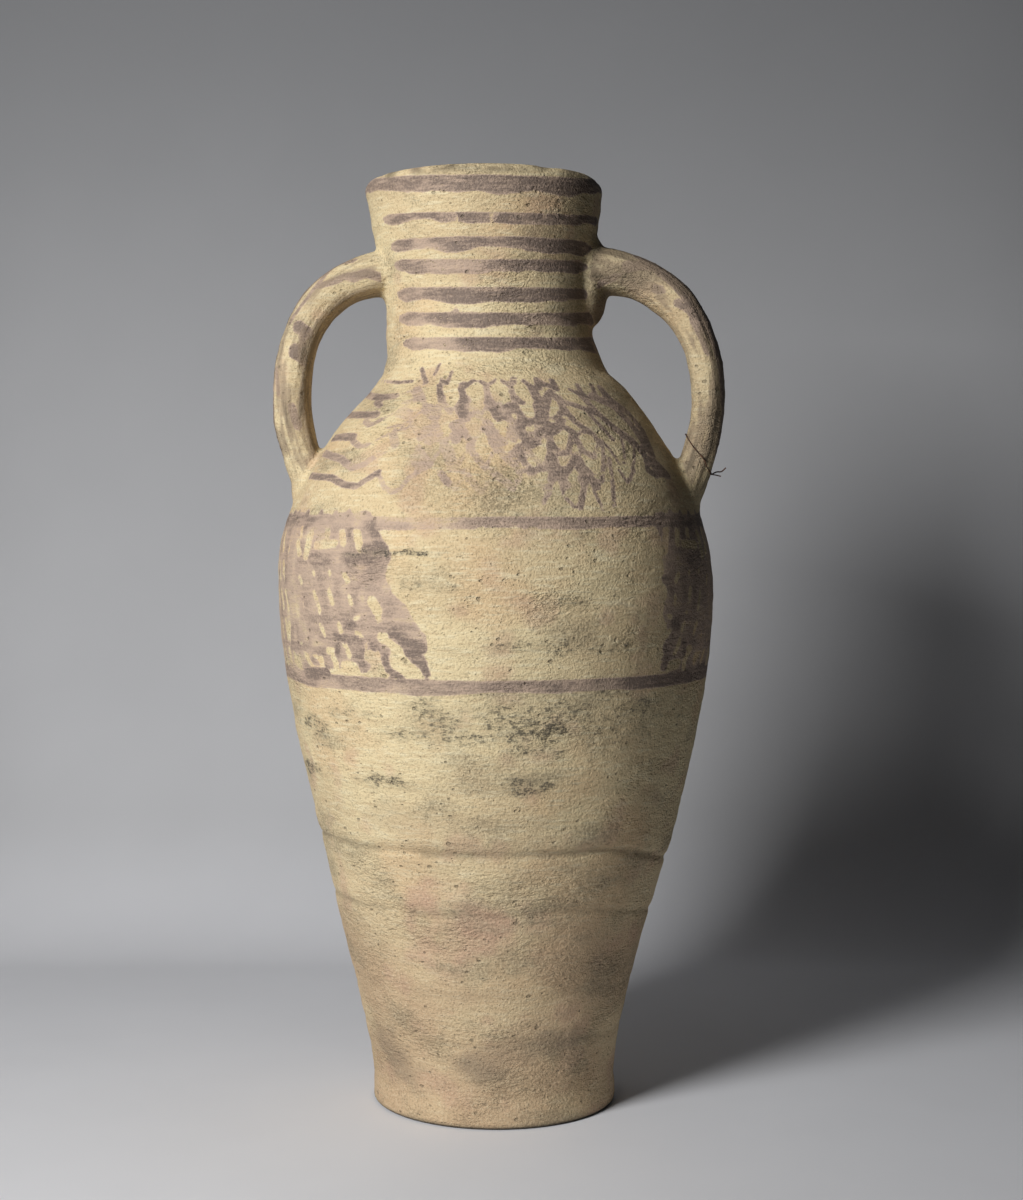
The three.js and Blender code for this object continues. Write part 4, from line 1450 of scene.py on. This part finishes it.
    def mark(self, piece: bpy.types.Object) -> None:
        """Writes on the mesh where the paint lies, and what is handle, wall and inside."""
        skin = self.skin(piece)
        edge, load = self.paint.on_wall(skin.azimuth, skin.height, self.wall)
        for handle in self.handles:
            pick = np.flatnonzero((skin.side == handle.sign) & (skin.bar > 0))
            inside, strength = self.paint.on_handle(handle.side, skin.along[pick], skin.turn[pick])
            solid = skin.bar[pick]
            edge[pick] = edge[pick] * (1 - solid) + inside * solid
            load[pick] = load[pick] * (1 - solid) + strength * solid
        edge = np.where(skin.inside, -self.paint.widest, edge)
        values = {
            "paint_edge": edge, "paint_load": load, "handle": skin.bar,
            "inside": np.where(skin.inside, 1.0, 0.0), "along": skin.along, "turn": skin.turn,
            **self.age.fields(skin, self.joints),
        }
        for name, value in values.items():
            attribute = piece.data.attributes.new(name, "FLOAT", "POINT")
            attribute.data.foreach_set("value", np.ascontiguousarray(value, dtype=np.float32))

    def build(self) -> bpy.types.Object:
        """Joins the turned body and the handles, hollows them, and shapes the surface.

        Returns:
            The finished mesh.
        """
        wall = self.wall
        clay = wall.hand_built(spun("painted_jar", wall.section(), self.outside_turns))
        for handle in self.handles:
            for part in (handle.bar(), *handle.pads()):
                combined(clay, part, Blend.JOIN)
        hollow = wall.hand_built(spun("hollow", wall.hollow(), self.inside_turns))
        combined(clay, hollow, Blend.CUT)
        applied(clay, "REMESH", mode="VOXEL", voxel_size=self.voxel * MM, adaptivity=0.0)
        LOG.info("%s: %d vertices after the joins", clay.name, len(clay.data.vertices))
        self.blend_joins(clay)
        self.weather(clay)
        self.thin(clay)
        self.mark(clay)
        take(clay)
        bpy.ops.object.shade_smooth()
        LOG.info("%s: %d triangles", clay.name, len(clay.data.polygons))
        return clay


Plug = "Signal | float"
Colour = tuple[float, float, float]


class Signal:
    """A value, vector or colour in a shader, which arithmetic turns into nodes."""

    def __init__(self, tree: bpy.types.NodeTree, socket: bpy.types.NodeSocket) -> None:
        """Keeps the socket that carries it.

        Args:
            tree: The node tree.
            socket: The output socket.
        """
        self.tree = tree
        self.socket = socket

    def math(self, kind: str, *others: Plug) -> "Signal":
        """One Math node on this value and others."""
        node = self.tree.nodes.new("ShaderNodeMath")
        node.operation = kind
        for slot, value in zip(node.inputs, (self, *others)):
            plug(self.tree, slot, value)
        return Signal(self.tree, node.outputs[0])

    def __add__(self, other: Plug) -> "Signal":
        """The sum."""
        return self.math("ADD", other)

    def __sub__(self, other: Plug) -> "Signal":
        """The difference."""
        return self.math("SUBTRACT", other)

    def __mul__(self, other: Plug) -> "Signal":
        """The product."""
        return self.math("MULTIPLY", other)

    def __truediv__(self, other: Plug) -> "Signal":
        """The ratio."""
        return self.math("DIVIDE", other)

    def __rsub__(self, other: float) -> "Signal":
        """A number less this value."""
        return (self * -1.0) + other

    __radd__ = __add__

    def size(self) -> "Signal":
        """The value without its sign."""
        return self.math("ABSOLUTE")

    def least(self, other: Plug) -> "Signal":
        """The smaller of two values."""
        return self.math("MINIMUM", other)

    def step(self, low: float, high: float) -> "Signal":
        """A smooth step from 0 at low to 1 at high, which falls where low is the larger."""
        node = self.tree.nodes.new("ShaderNodeMapRange")
        node.interpolation_type = "SMOOTHSTEP"
        flip = low > high
        bounds = (high, low, 1.0, 0.0) if flip else (low, high, 0.0, 1.0)
        plug(self.tree, node.inputs[0], self)
        for slot, value in zip(node.inputs[1:5], bounds):
            slot.default_value = value
        return Signal(self.tree, node.outputs[0])

    def mixed(self, other: "Signal | Colour", share: Plug) -> "Signal":
        """This colour blended into another by a share."""
        node = self.tree.nodes.new("ShaderNodeMix")
        node.data_type = "RGBA"
        plug(self.tree, node.inputs["Factor"], share)
        a, b = (s for s in node.inputs if s.type == "RGBA")
        plug(self.tree, a, self)
        plug(self.tree, b, other)
        return Signal(self.tree, next(s for s in node.outputs if s.type == "RGBA"))

    def dimmed(self, share: Plug) -> "Signal":
        """This colour times a value."""
        node = self.tree.nodes.new("ShaderNodeVectorMath")
        node.operation = "SCALE"
        plug(self.tree, node.inputs[0], self)
        plug(self.tree, node.inputs["Scale"], share)
        return Signal(self.tree, node.outputs[0])


def plug(tree: bpy.types.NodeTree, slot: bpy.types.NodeSocket,
         value: "Signal | float | Colour") -> None:
    """Feeds a socket from a signal, or sets it to a number or a colour."""
    if isinstance(value, Signal):
        tree.links.new(value.socket, slot)
    elif isinstance(value, tuple):
        slot.default_value = (*value, 1.0) if len(slot.default_value) == 4 else value
    else:
        slot.default_value = value


class Ground:
    """The coordinates and random fields that a finish is made from, in mm."""

    def __init__(self, tree: bpy.types.NodeTree) -> None:
        """Reads the piece's own coordinates.

        Args:
            tree: The node tree to work in.
        """
        self.tree = tree
        place = Signal(tree, tree.nodes.new("ShaderNodeTexCoord").outputs["Object"])
        self.place = place.dimmed(1 / MM)
        split = tree.nodes.new("ShaderNodeSeparateXYZ")
        plug(tree, split.inputs[0], self.place)
        self.x, self.y, self.z = (Signal(tree, s) for s in split.outputs)

    def vector(self, x: Plug, y: Plug, z: Plug) -> Signal:
        """Three values as a place."""
        node = self.tree.nodes.new("ShaderNodeCombineXYZ")
        for slot, value in zip(node.inputs, (x, y, z)):
            plug(self.tree, slot, value)
        return Signal(self.tree, node.outputs[0])

    def stretched(self, up: float) -> Signal:
        """The place with its height scaled, for streaks round the jar."""
        return self.vector(self.x, self.y, self.z * up)

    def noise(self, size: float, detail: float = 3.0, place: Signal | None = None,
              rough: float = 0.55) -> Signal:
        """Cloudy noise round 0.5.

        Args:
            size: The size of its largest cloud, in mm.
            detail: How many finer layers it has.
            place: The place to read, or none for the piece's own.
            rough: How strong the finer layers are.

        Returns:
            The noise.
        """
        node = self.tree.nodes.new("ShaderNodeTexNoise")
        plug(self.tree, node.inputs["Vector"], place or self.place)
        for name, value in (("Scale", 1 / size), ("Detail", detail), ("Roughness", rough)):
            node.inputs[name].default_value = value
        return Signal(self.tree, node.outputs["Fac"])

    def spots(self, place: Signal) -> Signal:
        """The distance to the nearest of many scattered points, in shares of their spacing."""
        node = self.tree.nodes.new("ShaderNodeTexVoronoi")
        plug(self.tree, node.inputs["Vector"], place)
        node.inputs["Scale"].default_value = 1.0
        return Signal(self.tree, node.outputs["Distance"])

    def attribute(self, name: str) -> Signal:
        """A value stored on the mesh."""
        node = self.tree.nodes.new("ShaderNodeAttribute")
        node.attribute_name = name
        return Signal(self.tree, node.outputs["Fac"])


class Effects:
    """The node groups that more than one finish uses, each built once."""

    @staticmethod
    def placed(tree: bpy.types.NodeTree, name: str, **values: Plug) -> dict[str, Signal]:
        """Puts a shared effect into a finish.

        Args:
            tree: The finish's node tree.
            name: The effect's name: mottle, pits or grain.
            **values: What its named inputs are set to.

        Returns:
            Its outputs by name.
        """
        group = bpy.data.node_groups.get(name) or getattr(Effects, name)()
        node = tree.nodes.new("ShaderNodeGroup")
        node.node_tree = group
        for key, value in values.items():
            plug(tree, node.inputs[key.title()], value)
        return {s.name: Signal(tree, s) for s in node.outputs}

    @staticmethod
    def started(name: str, inputs: dict[str, float], output: str) -> tuple[
            bpy.types.NodeTree, Ground, dict[str, Signal], bpy.types.Node]:
        """An empty effect with its named inputs and one output."""
        tree = bpy.data.node_groups.new(name, "ShaderNodeTree")
        for key, value in inputs.items():
            socket = tree.interface.new_socket(key, in_out="INPUT", socket_type="NodeSocketFloat")
            socket.default_value = value
        tree.interface.new_socket(output, in_out="OUTPUT", socket_type="NodeSocketFloat")
        entry, exit_ = tree.nodes.new("NodeGroupInput"), tree.nodes.new("NodeGroupOutput")
        given = {s.name: Signal(tree, s) for s in entry.outputs if s.name}
        return tree, Ground(tree), given, exit_

    @staticmethod
    def mottle() -> bpy.types.NodeTree:
        """Cloudy patches, from 0 to 1."""
        tree, ground, given, exit_ = Effects.started("mottle", {"Size": 40.0}, "Value")
        plug(tree, exit_.inputs[0], ground.noise(1.0, 3.0, ground.place.dimmed(given["Size"].math(
            "POWER", -1.0)), 0.6).step(0.30, 0.70))
        return tree

    @staticmethod
    def pits() -> bpy.types.NodeTree:
        """Small scattered holes: 1 in a hole and 0 between them."""
        tree, ground, given, exit_ = Effects.started("pits", {"Size": 8.0, "Share": 0.3}, "Mask")
        place = ground.vector(ground.x / given["Size"], ground.y / given["Size"],
                              ground.z * 1.35 / given["Size"])
        ragged = ground.noise(0.5, 1.0, place) - 0.5
        chosen = ground.noise(2.6, 1.0, place).step(0.44, 0.62) * 1.35 + 0.15
        hole = (given["Share"] * chosen - ground.spots(place) + ragged * 0.42) * 9.0
        plug(tree, exit_.inputs[0], hole.step(0.0, 1.0))
        return tree

    @staticmethod
    def grain() -> bpy.types.NodeTree:
        """A fine tooth from 0 to 1."""
        tree, ground, given, exit_ = Effects.started("grain", {"Size": 0.8}, "Value")
        place = ground.place.dimmed(given["Size"].math("POWER", -1.0))
        plug(tree, exit_.inputs[0], ground.noise(1.0, 2.0, place, 0.7))
        return tree


def flat_colour(tree: bpy.types.NodeTree, colour: Colour) -> Signal:
    """One colour all over, to lay others on."""
    start = tree.nodes.new("ShaderNodeRGB")
    start.outputs[0].default_value = (*colour, 1.0)
    return Signal(tree, start.outputs[0])


def opened(name: str) -> tuple[bpy.types.Material, bpy.types.NodeTree, bpy.types.Node]:
    """A new material with its shader.

    Args:
        name: The material's name.

    Returns:
        The material, its node tree and its shader node.
    """
    material = bpy.data.materials.new(name)
    material.use_nodes = True
    tree = material.node_tree
    return material, tree, next(n for n in tree.nodes if n.type == "BSDF_PRINCIPLED")


def raised(tree: bpy.types.NodeTree, shader: bpy.types.Node, height: Signal) -> None:
    """Gives a shader relief by a height in mm."""
    bump = tree.nodes.new("ShaderNodeBump")
    bump.inputs["Distance"].default_value = MM
    plug(tree, bump.inputs["Height"], height)
    tree.links.new(bump.outputs["Normal"], shader.inputs["Normal"])


@dataclass(frozen=True)
class PaintedClay:
    """Cream-slipped buff clay with purplish brown brushwork, earth stains, pits and painted shade.
    """

    slip: Colour = (0.76, 0.62, 0.37)
    worn_slip: Colour = (0.62, 0.47, 0.275)
    orange_clay: Colour = (0.68, 0.45, 0.25)
    lower_clay: Colour = (0.555, 0.385, 0.24)
    pink_clay: Colour = (0.56, 0.35, 0.245)
    pale: Colour = (0.83, 0.74, 0.50)
    wash: Colour = (0.54, 0.395, 0.31)
    paint: Colour = (0.223, 0.168, 0.135)
    film: Colour = (0.36, 0.305, 0.20)
    # The dark colours below serve for dirt and specks, and also for painted shade.
    soil_and_shade: Colour = (0.17, 0.135, 0.09)
    speck_and_foot_shade_black: Colour = (0.045, 0.042, 0.036)
    dirt_and_shade_brown: Colour = (0.30, 0.225, 0.155)
    grain_size: float = 1.5
    pit_size: float = 8.0
    pit_share: float = 0.135
    small_pit_size: float = 3.6
    small_pit_share: float = 0.16
    streak_size: float = 15.0
    streak_flat: float = 7.0
    fret_size: float = 5.0
    fret_flat: float = 2.2
    scratch_size: float = 70.0
    scratch_flat: float = 26.0
    fibre_size: float = 4.0
    lower_span: tuple[float, float] = (230.0, 110.0)
    inside_shade_span: tuple[float, float] = (600.0, 540.0)
    foot_edge_dirt_and_shade_heights: tuple[float, float] = (2.6, 0.8)
    paint_edge: tuple[float, float] = (-0.7, 1.0)
    roughness: float = 0.86
    gloss: float = 0.32

    def material(self) -> bpy.types.Material:
        """Builds the finish."""
        material, tree, shader = opened("painted_clay")
        ground = Ground(tree)
        mark = ground.attribute
        handle, haze, stain = mark("handle"), mark("haze"), mark("stain")
        tooth = Effects.placed(tree, "grain", size=self.grain_size)["Value"]
        holes = Effects.placed(tree, "pits", size=self.pit_size, share=self.pit_share)["Mask"]
        small = Effects.placed(tree, "pits", size=self.small_pit_size,
                               share=self.small_pit_share)["Mask"]
        streaks = ground.noise(self.streak_size, 3.0, ground.stretched(self.streak_flat), 0.62)
        fret = ground.noise(self.fret_size, 3.0, ground.stretched(self.fret_flat), 0.7)
        lines = ground.noise(self.scratch_size, 1.0, ground.stretched(self.scratch_flat)) - 0.5
        scratched = lines.size().step(0.012, 0.002) * haze
        along = ground.vector(mark("along") * 0.16, mark("turn") * 0.25, handle * 7.0)
        fibres = ground.noise(self.fibre_size, 2.0, along, 0.6) - 0.5

        edge = mark("paint_edge") + (fret - 0.5) * 1.5 + (tooth - 0.5) * 0.8
        dry = streaks.step(0.34, 0.58) * 0.40 + 0.68
        gritty = tooth.step(0.36, 0.58) * 0.34 + 0.74
        amount = edge.step(*self.paint_edge) * mark("paint_load") * dry * gritty
        amount = amount * (1.0 - mark("wear") * 0.48) * (1.0 - small * 0.6)
        # Handle darkening: dirt drawn along each handle, and painted shade on the grip sides.
        drawn = mark("handle_grime_and_shade") * 0.8 + fibres * 1.6 * handle
        specks = (fret * 0.6 + tooth * 0.4 + stain * 0.16).step(0.56, 0.71) * stain.step(0.0, 0.7)
        low = ground.z.step(*self.lower_span)
        # Painted shade inside the jar: the inner wall darkens from the mouth downwards.
        inner = mark("inside") * ground.z.step(*self.inside_shade_span)
        # The foot's bottom edge in near black: dirt, and painted contact shade where it meets the
        # floor.
        foot_dirt_and_contact_shade = (ground.z + (fret - 0.5) * 2.0).step(*self.foot_edge_dirt_and_shade_heights)
        colour = flat_colour(tree, self.slip)
        for over, share in (
            (self.worn_slip, mark("mottle") * 0.60),
            (self.orange_clay, mark("orange") * 0.45),
            (self.pale, streaks.step(0.50, 0.68) * 0.50),
            (self.worn_slip, streaks.step(0.47, 0.32) * 0.65),
            (self.lower_clay, low * (mark("mottle") * 0.35 + 0.42)),
            (self.pink_clay, mark("pink") * 0.78),
            (self.film, haze * (fret - 0.12)),
            (self.pale, tooth.step(0.52, 0.72) * 0.32),
            (self.soil_and_shade, (tooth - haze * 0.10).step(0.48, 0.30) * 0.42),
            (self.wash, amount.step(0.02, 0.36) * 0.85),
            (self.paint, amount.step(0.16, 0.95)),
            (self.soil_and_shade, scratched * 0.35),
            (self.dirt_and_shade_brown, mark("smear")),
            # Handles: dirt, with painted shade on the grip sides.
            (self.dirt_and_shade_brown, handle * 0.16 + drawn.step(0.15, 0.75) * 0.62),
            (self.soil_and_shade, drawn.step(0.72, 1.15) * handle * 0.72),
            # The rim's soiled lip, and the foot's edge with dirt and painted contact shade.
            (self.soil_and_shade, mark("lip") * (0.25 + fret * 0.9)),
            # The coil creases: soil in them and painted shade.
            (self.soil_and_shade, mark("crease") * (0.10 + fret * 0.6)),
            # The pits: soil lodged in them, and painted shade in the holes.
            (self.soil_and_shade, holes * 0.50 + small * (haze * 0.40 + 0.15)),
            (self.film, stain * fret * 0.75),
            (self.speck_and_foot_shade_black, specks * 0.80),
            # The foot's bottom edge: dirt and painted contact shade.
            (self.speck_and_foot_shade_black, foot_dirt_and_contact_shade * 0.75),
            # Painted shade inside the jar, below the mouth.
            (self.dirt_and_shade_brown, inner * 0.45),
        ):
            colour = colour.mixed(over, share)
        plug(tree, shader.inputs["Base Color"], colour)
        plug(tree, shader.inputs["Roughness"], self.roughness - amount * 0.10 - tooth * 0.06)
        shader.inputs["Specular IOR Level"].default_value = self.gloss
        height = tooth * 0.74 + (streaks - 0.5) * 0.42 + fibres * handle * 1.3
        height = height + (fret - 0.5) * (mark("rough") * 2.5 + 0.85) - holes * 0.8 - small * 0.5
        raised(tree, shader, height)
        return material


@dataclass(frozen=True)
class RustyWire:
    """Thin dark iron wire, rusted in patches."""

    dark: Colour = (0.035, 0.028, 0.024)
    rust: Colour = (0.16, 0.065, 0.030)
    patch_size: float = 3.0
    grain_size: float = 0.35

    def material(self) -> bpy.types.Material:
        """Builds the finish."""
        material, tree, shader = opened("rusty_wire")
        patches = Effects.placed(tree, "mottle", size=self.patch_size)["Value"]
        tooth = Effects.placed(tree, "grain", size=self.grain_size)["Value"]
        colour = flat_colour(tree, self.dark).mixed(self.rust, patches * 0.8)
        plug(tree, shader.inputs["Base Color"], colour)
        plug(tree, shader.inputs["Roughness"], 0.5 + patches * 0.35)
        plug(tree, shader.inputs["Metallic"], 0.7 - patches * 0.6)
        raised(tree, shader, tooth * 0.12)
        return material


@dataclass(frozen=True)
class PaperSweep:
    """Pale grey backdrop paper, darker towards the top and far out as painted falloff of light;
    only its front shows.
    """

    pale: Colour = (0.74, 0.745, 0.77)
    middle: Colour = (0.60, 0.603, 0.617)
    upper: Colour = (0.30, 0.303, 0.314)
    far: Colour = (0.20, 0.202, 0.209)
    falls_off: tuple[float, float] = (430.0, 900.0)
    fold: tuple[float, float] = (10.0, 120.0)
    fade: tuple[float, float] = (150.0, 1050.0)
    cloud_size: float = 260.0
    grain_size: float = 1.4
    grain_depth: float = 0.05
    roughness: float = 0.9
    gloss: float = 0.15

    def material(self) -> bpy.types.Material:
        """Builds the finish."""
        material, tree, shader = opened("paper_sweep")
        ground = Ground(tree)
        clouds = Effects.placed(tree, "mottle", size=self.cloud_size)["Value"]
        # Painted falloff of light: greyer where the paper turns up into the backdrop, darker
        # towards the top.
        colour = flat_colour(tree, self.pale).mixed(self.middle, ground.z.step(*self.fold))
        colour = colour.mixed(self.upper, ground.z.step(*self.fade))
        # Painted falloff of light: darker far from the jar, at the sides and in front.
        ahead = ground.y.least(0.0)
        away = (ground.x * ground.x + ahead * ahead).math("SQRT")
        colour = colour.mixed(self.far, away.step(*self.falls_off))
        plug(tree, shader.inputs["Base Color"], colour.dimmed(0.98 + clouds * 0.04))
        shader.inputs["Roughness"].default_value = self.roughness
        shader.inputs["Specular IOR Level"].default_value = self.gloss
        tooth = Effects.placed(tree, "grain", size=self.grain_size)["Value"]
        raised(tree, shader, tooth * self.grain_depth)
        behind = Signal(tree, tree.nodes.new("ShaderNodeNewGeometry").outputs["Backfacing"])
        clear = tree.nodes.new("ShaderNodeBsdfTransparent")
        choice = tree.nodes.new("ShaderNodeMixShader")
        plug(tree, choice.inputs[0], behind)
        tree.links.new(shader.outputs[0], choice.inputs[1])
        tree.links.new(clear.outputs[0], choice.inputs[2])
        target = next(n for n in tree.nodes if n.type == "OUTPUT_MATERIAL")
        tree.links.new(choice.outputs[0], target.inputs["Surface"])
        return material


def dressed(piece: bpy.types.Object, material: bpy.types.Material) -> None:
    """Gives a piece one material all over."""
    piece.data.materials.clear()
    piece.data.materials.append(material)


@dataclass
class Studio:
    """The pale sweep, the lights and the camera. Metres, watts, degrees."""

    lens: float = 57.0
    sensor: float = 36.0
    eye: tuple[float, float, float] = (0.0, -1.293, 0.383)
    pitch: float = 1.94
    yaw: float = 0.50
    sweep_half_width: float = 4.0
    sweep_front: float = -4.0
    sweep_back: float = 0.60
    sweep_height: float = 2.6
    sweep_curve: float = 0.22
    sweep_curve_steps: int = 24
    key_azimuth: float = -38.0
    key_distance: float = 1.5
    key_height: float = 1.0
    key_size: tuple[float, float] = (0.50, 0.60)
    key_power: float = 14.8
    key_spread: float = 130.0
    key_target: tuple[float, float, float] = (0.0, 0.0, 0.26)
    top_place: tuple[float, float, float] = (0.0, 0.25, 1.75)
    top_target: tuple[float, float, float] = (0.0, 0.0, 0.3)
    top_size: tuple[float, float] = (1.0, 0.8)
    top_power: float = 0.15
    back_place: tuple[float, float, float] = (0.25, 1.6, 0.62)
    back_target: tuple[float, float, float] = (0.0, 0.0, 0.32)
    back_size: tuple[float, float] = (0.8, 0.8)
    back_power: float = 11.0
    fill: float = 0.008
    fill_colour: tuple[float, float, float] = (0.80, 0.86, 1.0)
    shown: bpy.types.Collection = field(
        default_factory=lambda: bpy.data.collections.new("lit_from_behind"))

    def camera(self) -> bpy.types.Object:
        """The camera, where the photograph was taken from."""
        data = bpy.data.cameras.new("camera")
        data.lens = self.lens
        data.sensor_width = data.sensor_height = self.sensor
        data.sensor_fit = "AUTO"
        camera = bpy.data.objects.new("camera", data)
        bpy.context.scene.collection.objects.link(camera)
        camera.location = self.eye
        camera.rotation_euler = (math.radians(90 - self.pitch), 0.0, -math.radians(self.yaw))
        bpy.context.scene.camera = camera
        return camera

    def sweep(self) -> bpy.types.Object:
        """The floor and backdrop: one plane, drawn up at the back and rounded at the fold."""
        deselect()
        bpy.ops.mesh.primitive_plane_add(size=1.0)
        paper = bpy.context.object
        paper.name = "sweep"
        corners = points_of(paper)
        corners[:, 0] *= 2 * self.sweep_half_width
        corners[:, 1] = np.where(corners[:, 1] > 0, self.sweep_back, self.sweep_front)
        put_points(paper, corners)
        for edge in paper.data.edges:
            edge.select = all(paper.data.vertices[v].co.y > 0 for v in edge.vertices)
        for face in paper.data.polygons:
            face.select = False
        for vertex in paper.data.vertices:
            vertex.select = vertex.co.y > 0
        bpy.ops.object.mode_set(mode="EDIT")
        bpy.ops.mesh.select_mode(type="EDGE")
        rise = (0, 0, self.sweep_height)
        bpy.ops.mesh.extrude_region_move(TRANSFORM_OT_translate={"value": rise})
        bpy.ops.object.mode_set(mode="OBJECT")
        for vertex in paper.data.vertices:
            vertex.select = vertex.co.y > 0 and vertex.co.z < 0.01
        for edge in paper.data.edges:
            edge.select = all(paper.data.vertices[v].select for v in edge.vertices)
        for face in paper.data.polygons:
            face.select = False
        bpy.ops.object.mode_set(mode="EDIT")
        bpy.ops.mesh.bevel(offset=self.sweep_curve, segments=self.sweep_curve_steps, profile=0.5)
        bpy.ops.object.mode_set(mode="OBJECT")
        faced_out(paper)
        most_up = max(face.normal.z for face in paper.data.polygons)
        if paper.data.polygons[0].normal.z < 0 or most_up < 0.5:
            paper.data.flip_normals()
        bpy.ops.object.shade_smooth()
        dressed(paper, PaperSweep().material())
        paper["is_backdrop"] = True
        return paper

    def lamp(self, name: str, place: tuple[float, float, float],
             target: tuple[float, float, float], size: tuple[float, float], power: float,
             spread: float = 180.0) -> bpy.types.Object:
        """A soft rectangular lamp that faces a point."""
        data = bpy.data.lights.new(name, "AREA")
        data.shape = "RECTANGLE"
        data.size, data.size_y = size
        data.energy = power
        data.spread = math.radians(spread)
        lamp = bpy.data.objects.new(name, data)
        bpy.context.scene.collection.objects.link(lamp)
        lamp.location = place
        lamp.rotation_euler = (Vector(target) - Vector(place)).to_track_quat("-Z", "Y").to_euler()
        return lamp

    def light_from_behind(self, *pieces: bpy.types.Object) -> None:
        """Lets the lamp behind light these pieces, and nothing else."""
        for piece in pieces:
            self.shown.objects.link(piece)

    def lights(self) -> None:
        """The lamp at the left, weak ones overhead and behind the jar, and a faint even light."""
        s, c = math.sin(math.radians(self.key_azimuth)), math.cos(math.radians(self.key_azimuth))
        place = (self.key_distance * s, -self.key_distance * c, self.key_height)
        self.lamp("key", place, self.key_target, self.key_size, self.key_power, self.key_spread)
        over = self.lamp("overhead", self.top_place, self.top_target, self.top_size,
                         self.top_power)
        over.visible_camera = False
        behind = self.lamp("behind", self.back_place, self.back_target, self.back_size,
                           self.back_power)
        behind.visible_camera = False
        behind.light_linking.receiver_collection = self.shown
        world = bpy.data.worlds.new("studio")
        world.use_nodes = True
        sky = world.node_tree.nodes["Background"]
        sky.inputs["Color"].default_value = (*self.fill_colour, 1.0)
        sky.inputs["Strength"].default_value = self.fill
        bpy.context.scene.world = world
        bpy.context.scene.view_settings.view_transform = "Standard"


def main() -> None:
    """Builds the jar, its wire and the studio."""
    logging.basicConfig(level=logging.INFO, format="%(name)s: %(message)s")
    cad_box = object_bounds()
    studio = Studio()
    studio.camera()
    studio.sweep()
    studio.lights()
    LOG.info("studio: camera, sweep and lights")
    jar = StorageJar().build()
    dressed(jar, PaintedClay().material())
    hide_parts("jar")
    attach(jar, "root")
    LOG.info("painted_jar: dressed")
    dressed(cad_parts["tie_wire"], RustyWire().material())
    LOG.info("tie_wire: dressed")
    studio.light_from_behind(jar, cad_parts["tie_wire"])
    boxes = {"cad": cad_box, "visual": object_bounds()}
    json.dumps(boxes, default=lambda v: [float(x) for x in v])


if __name__ == "__main__":
    main()
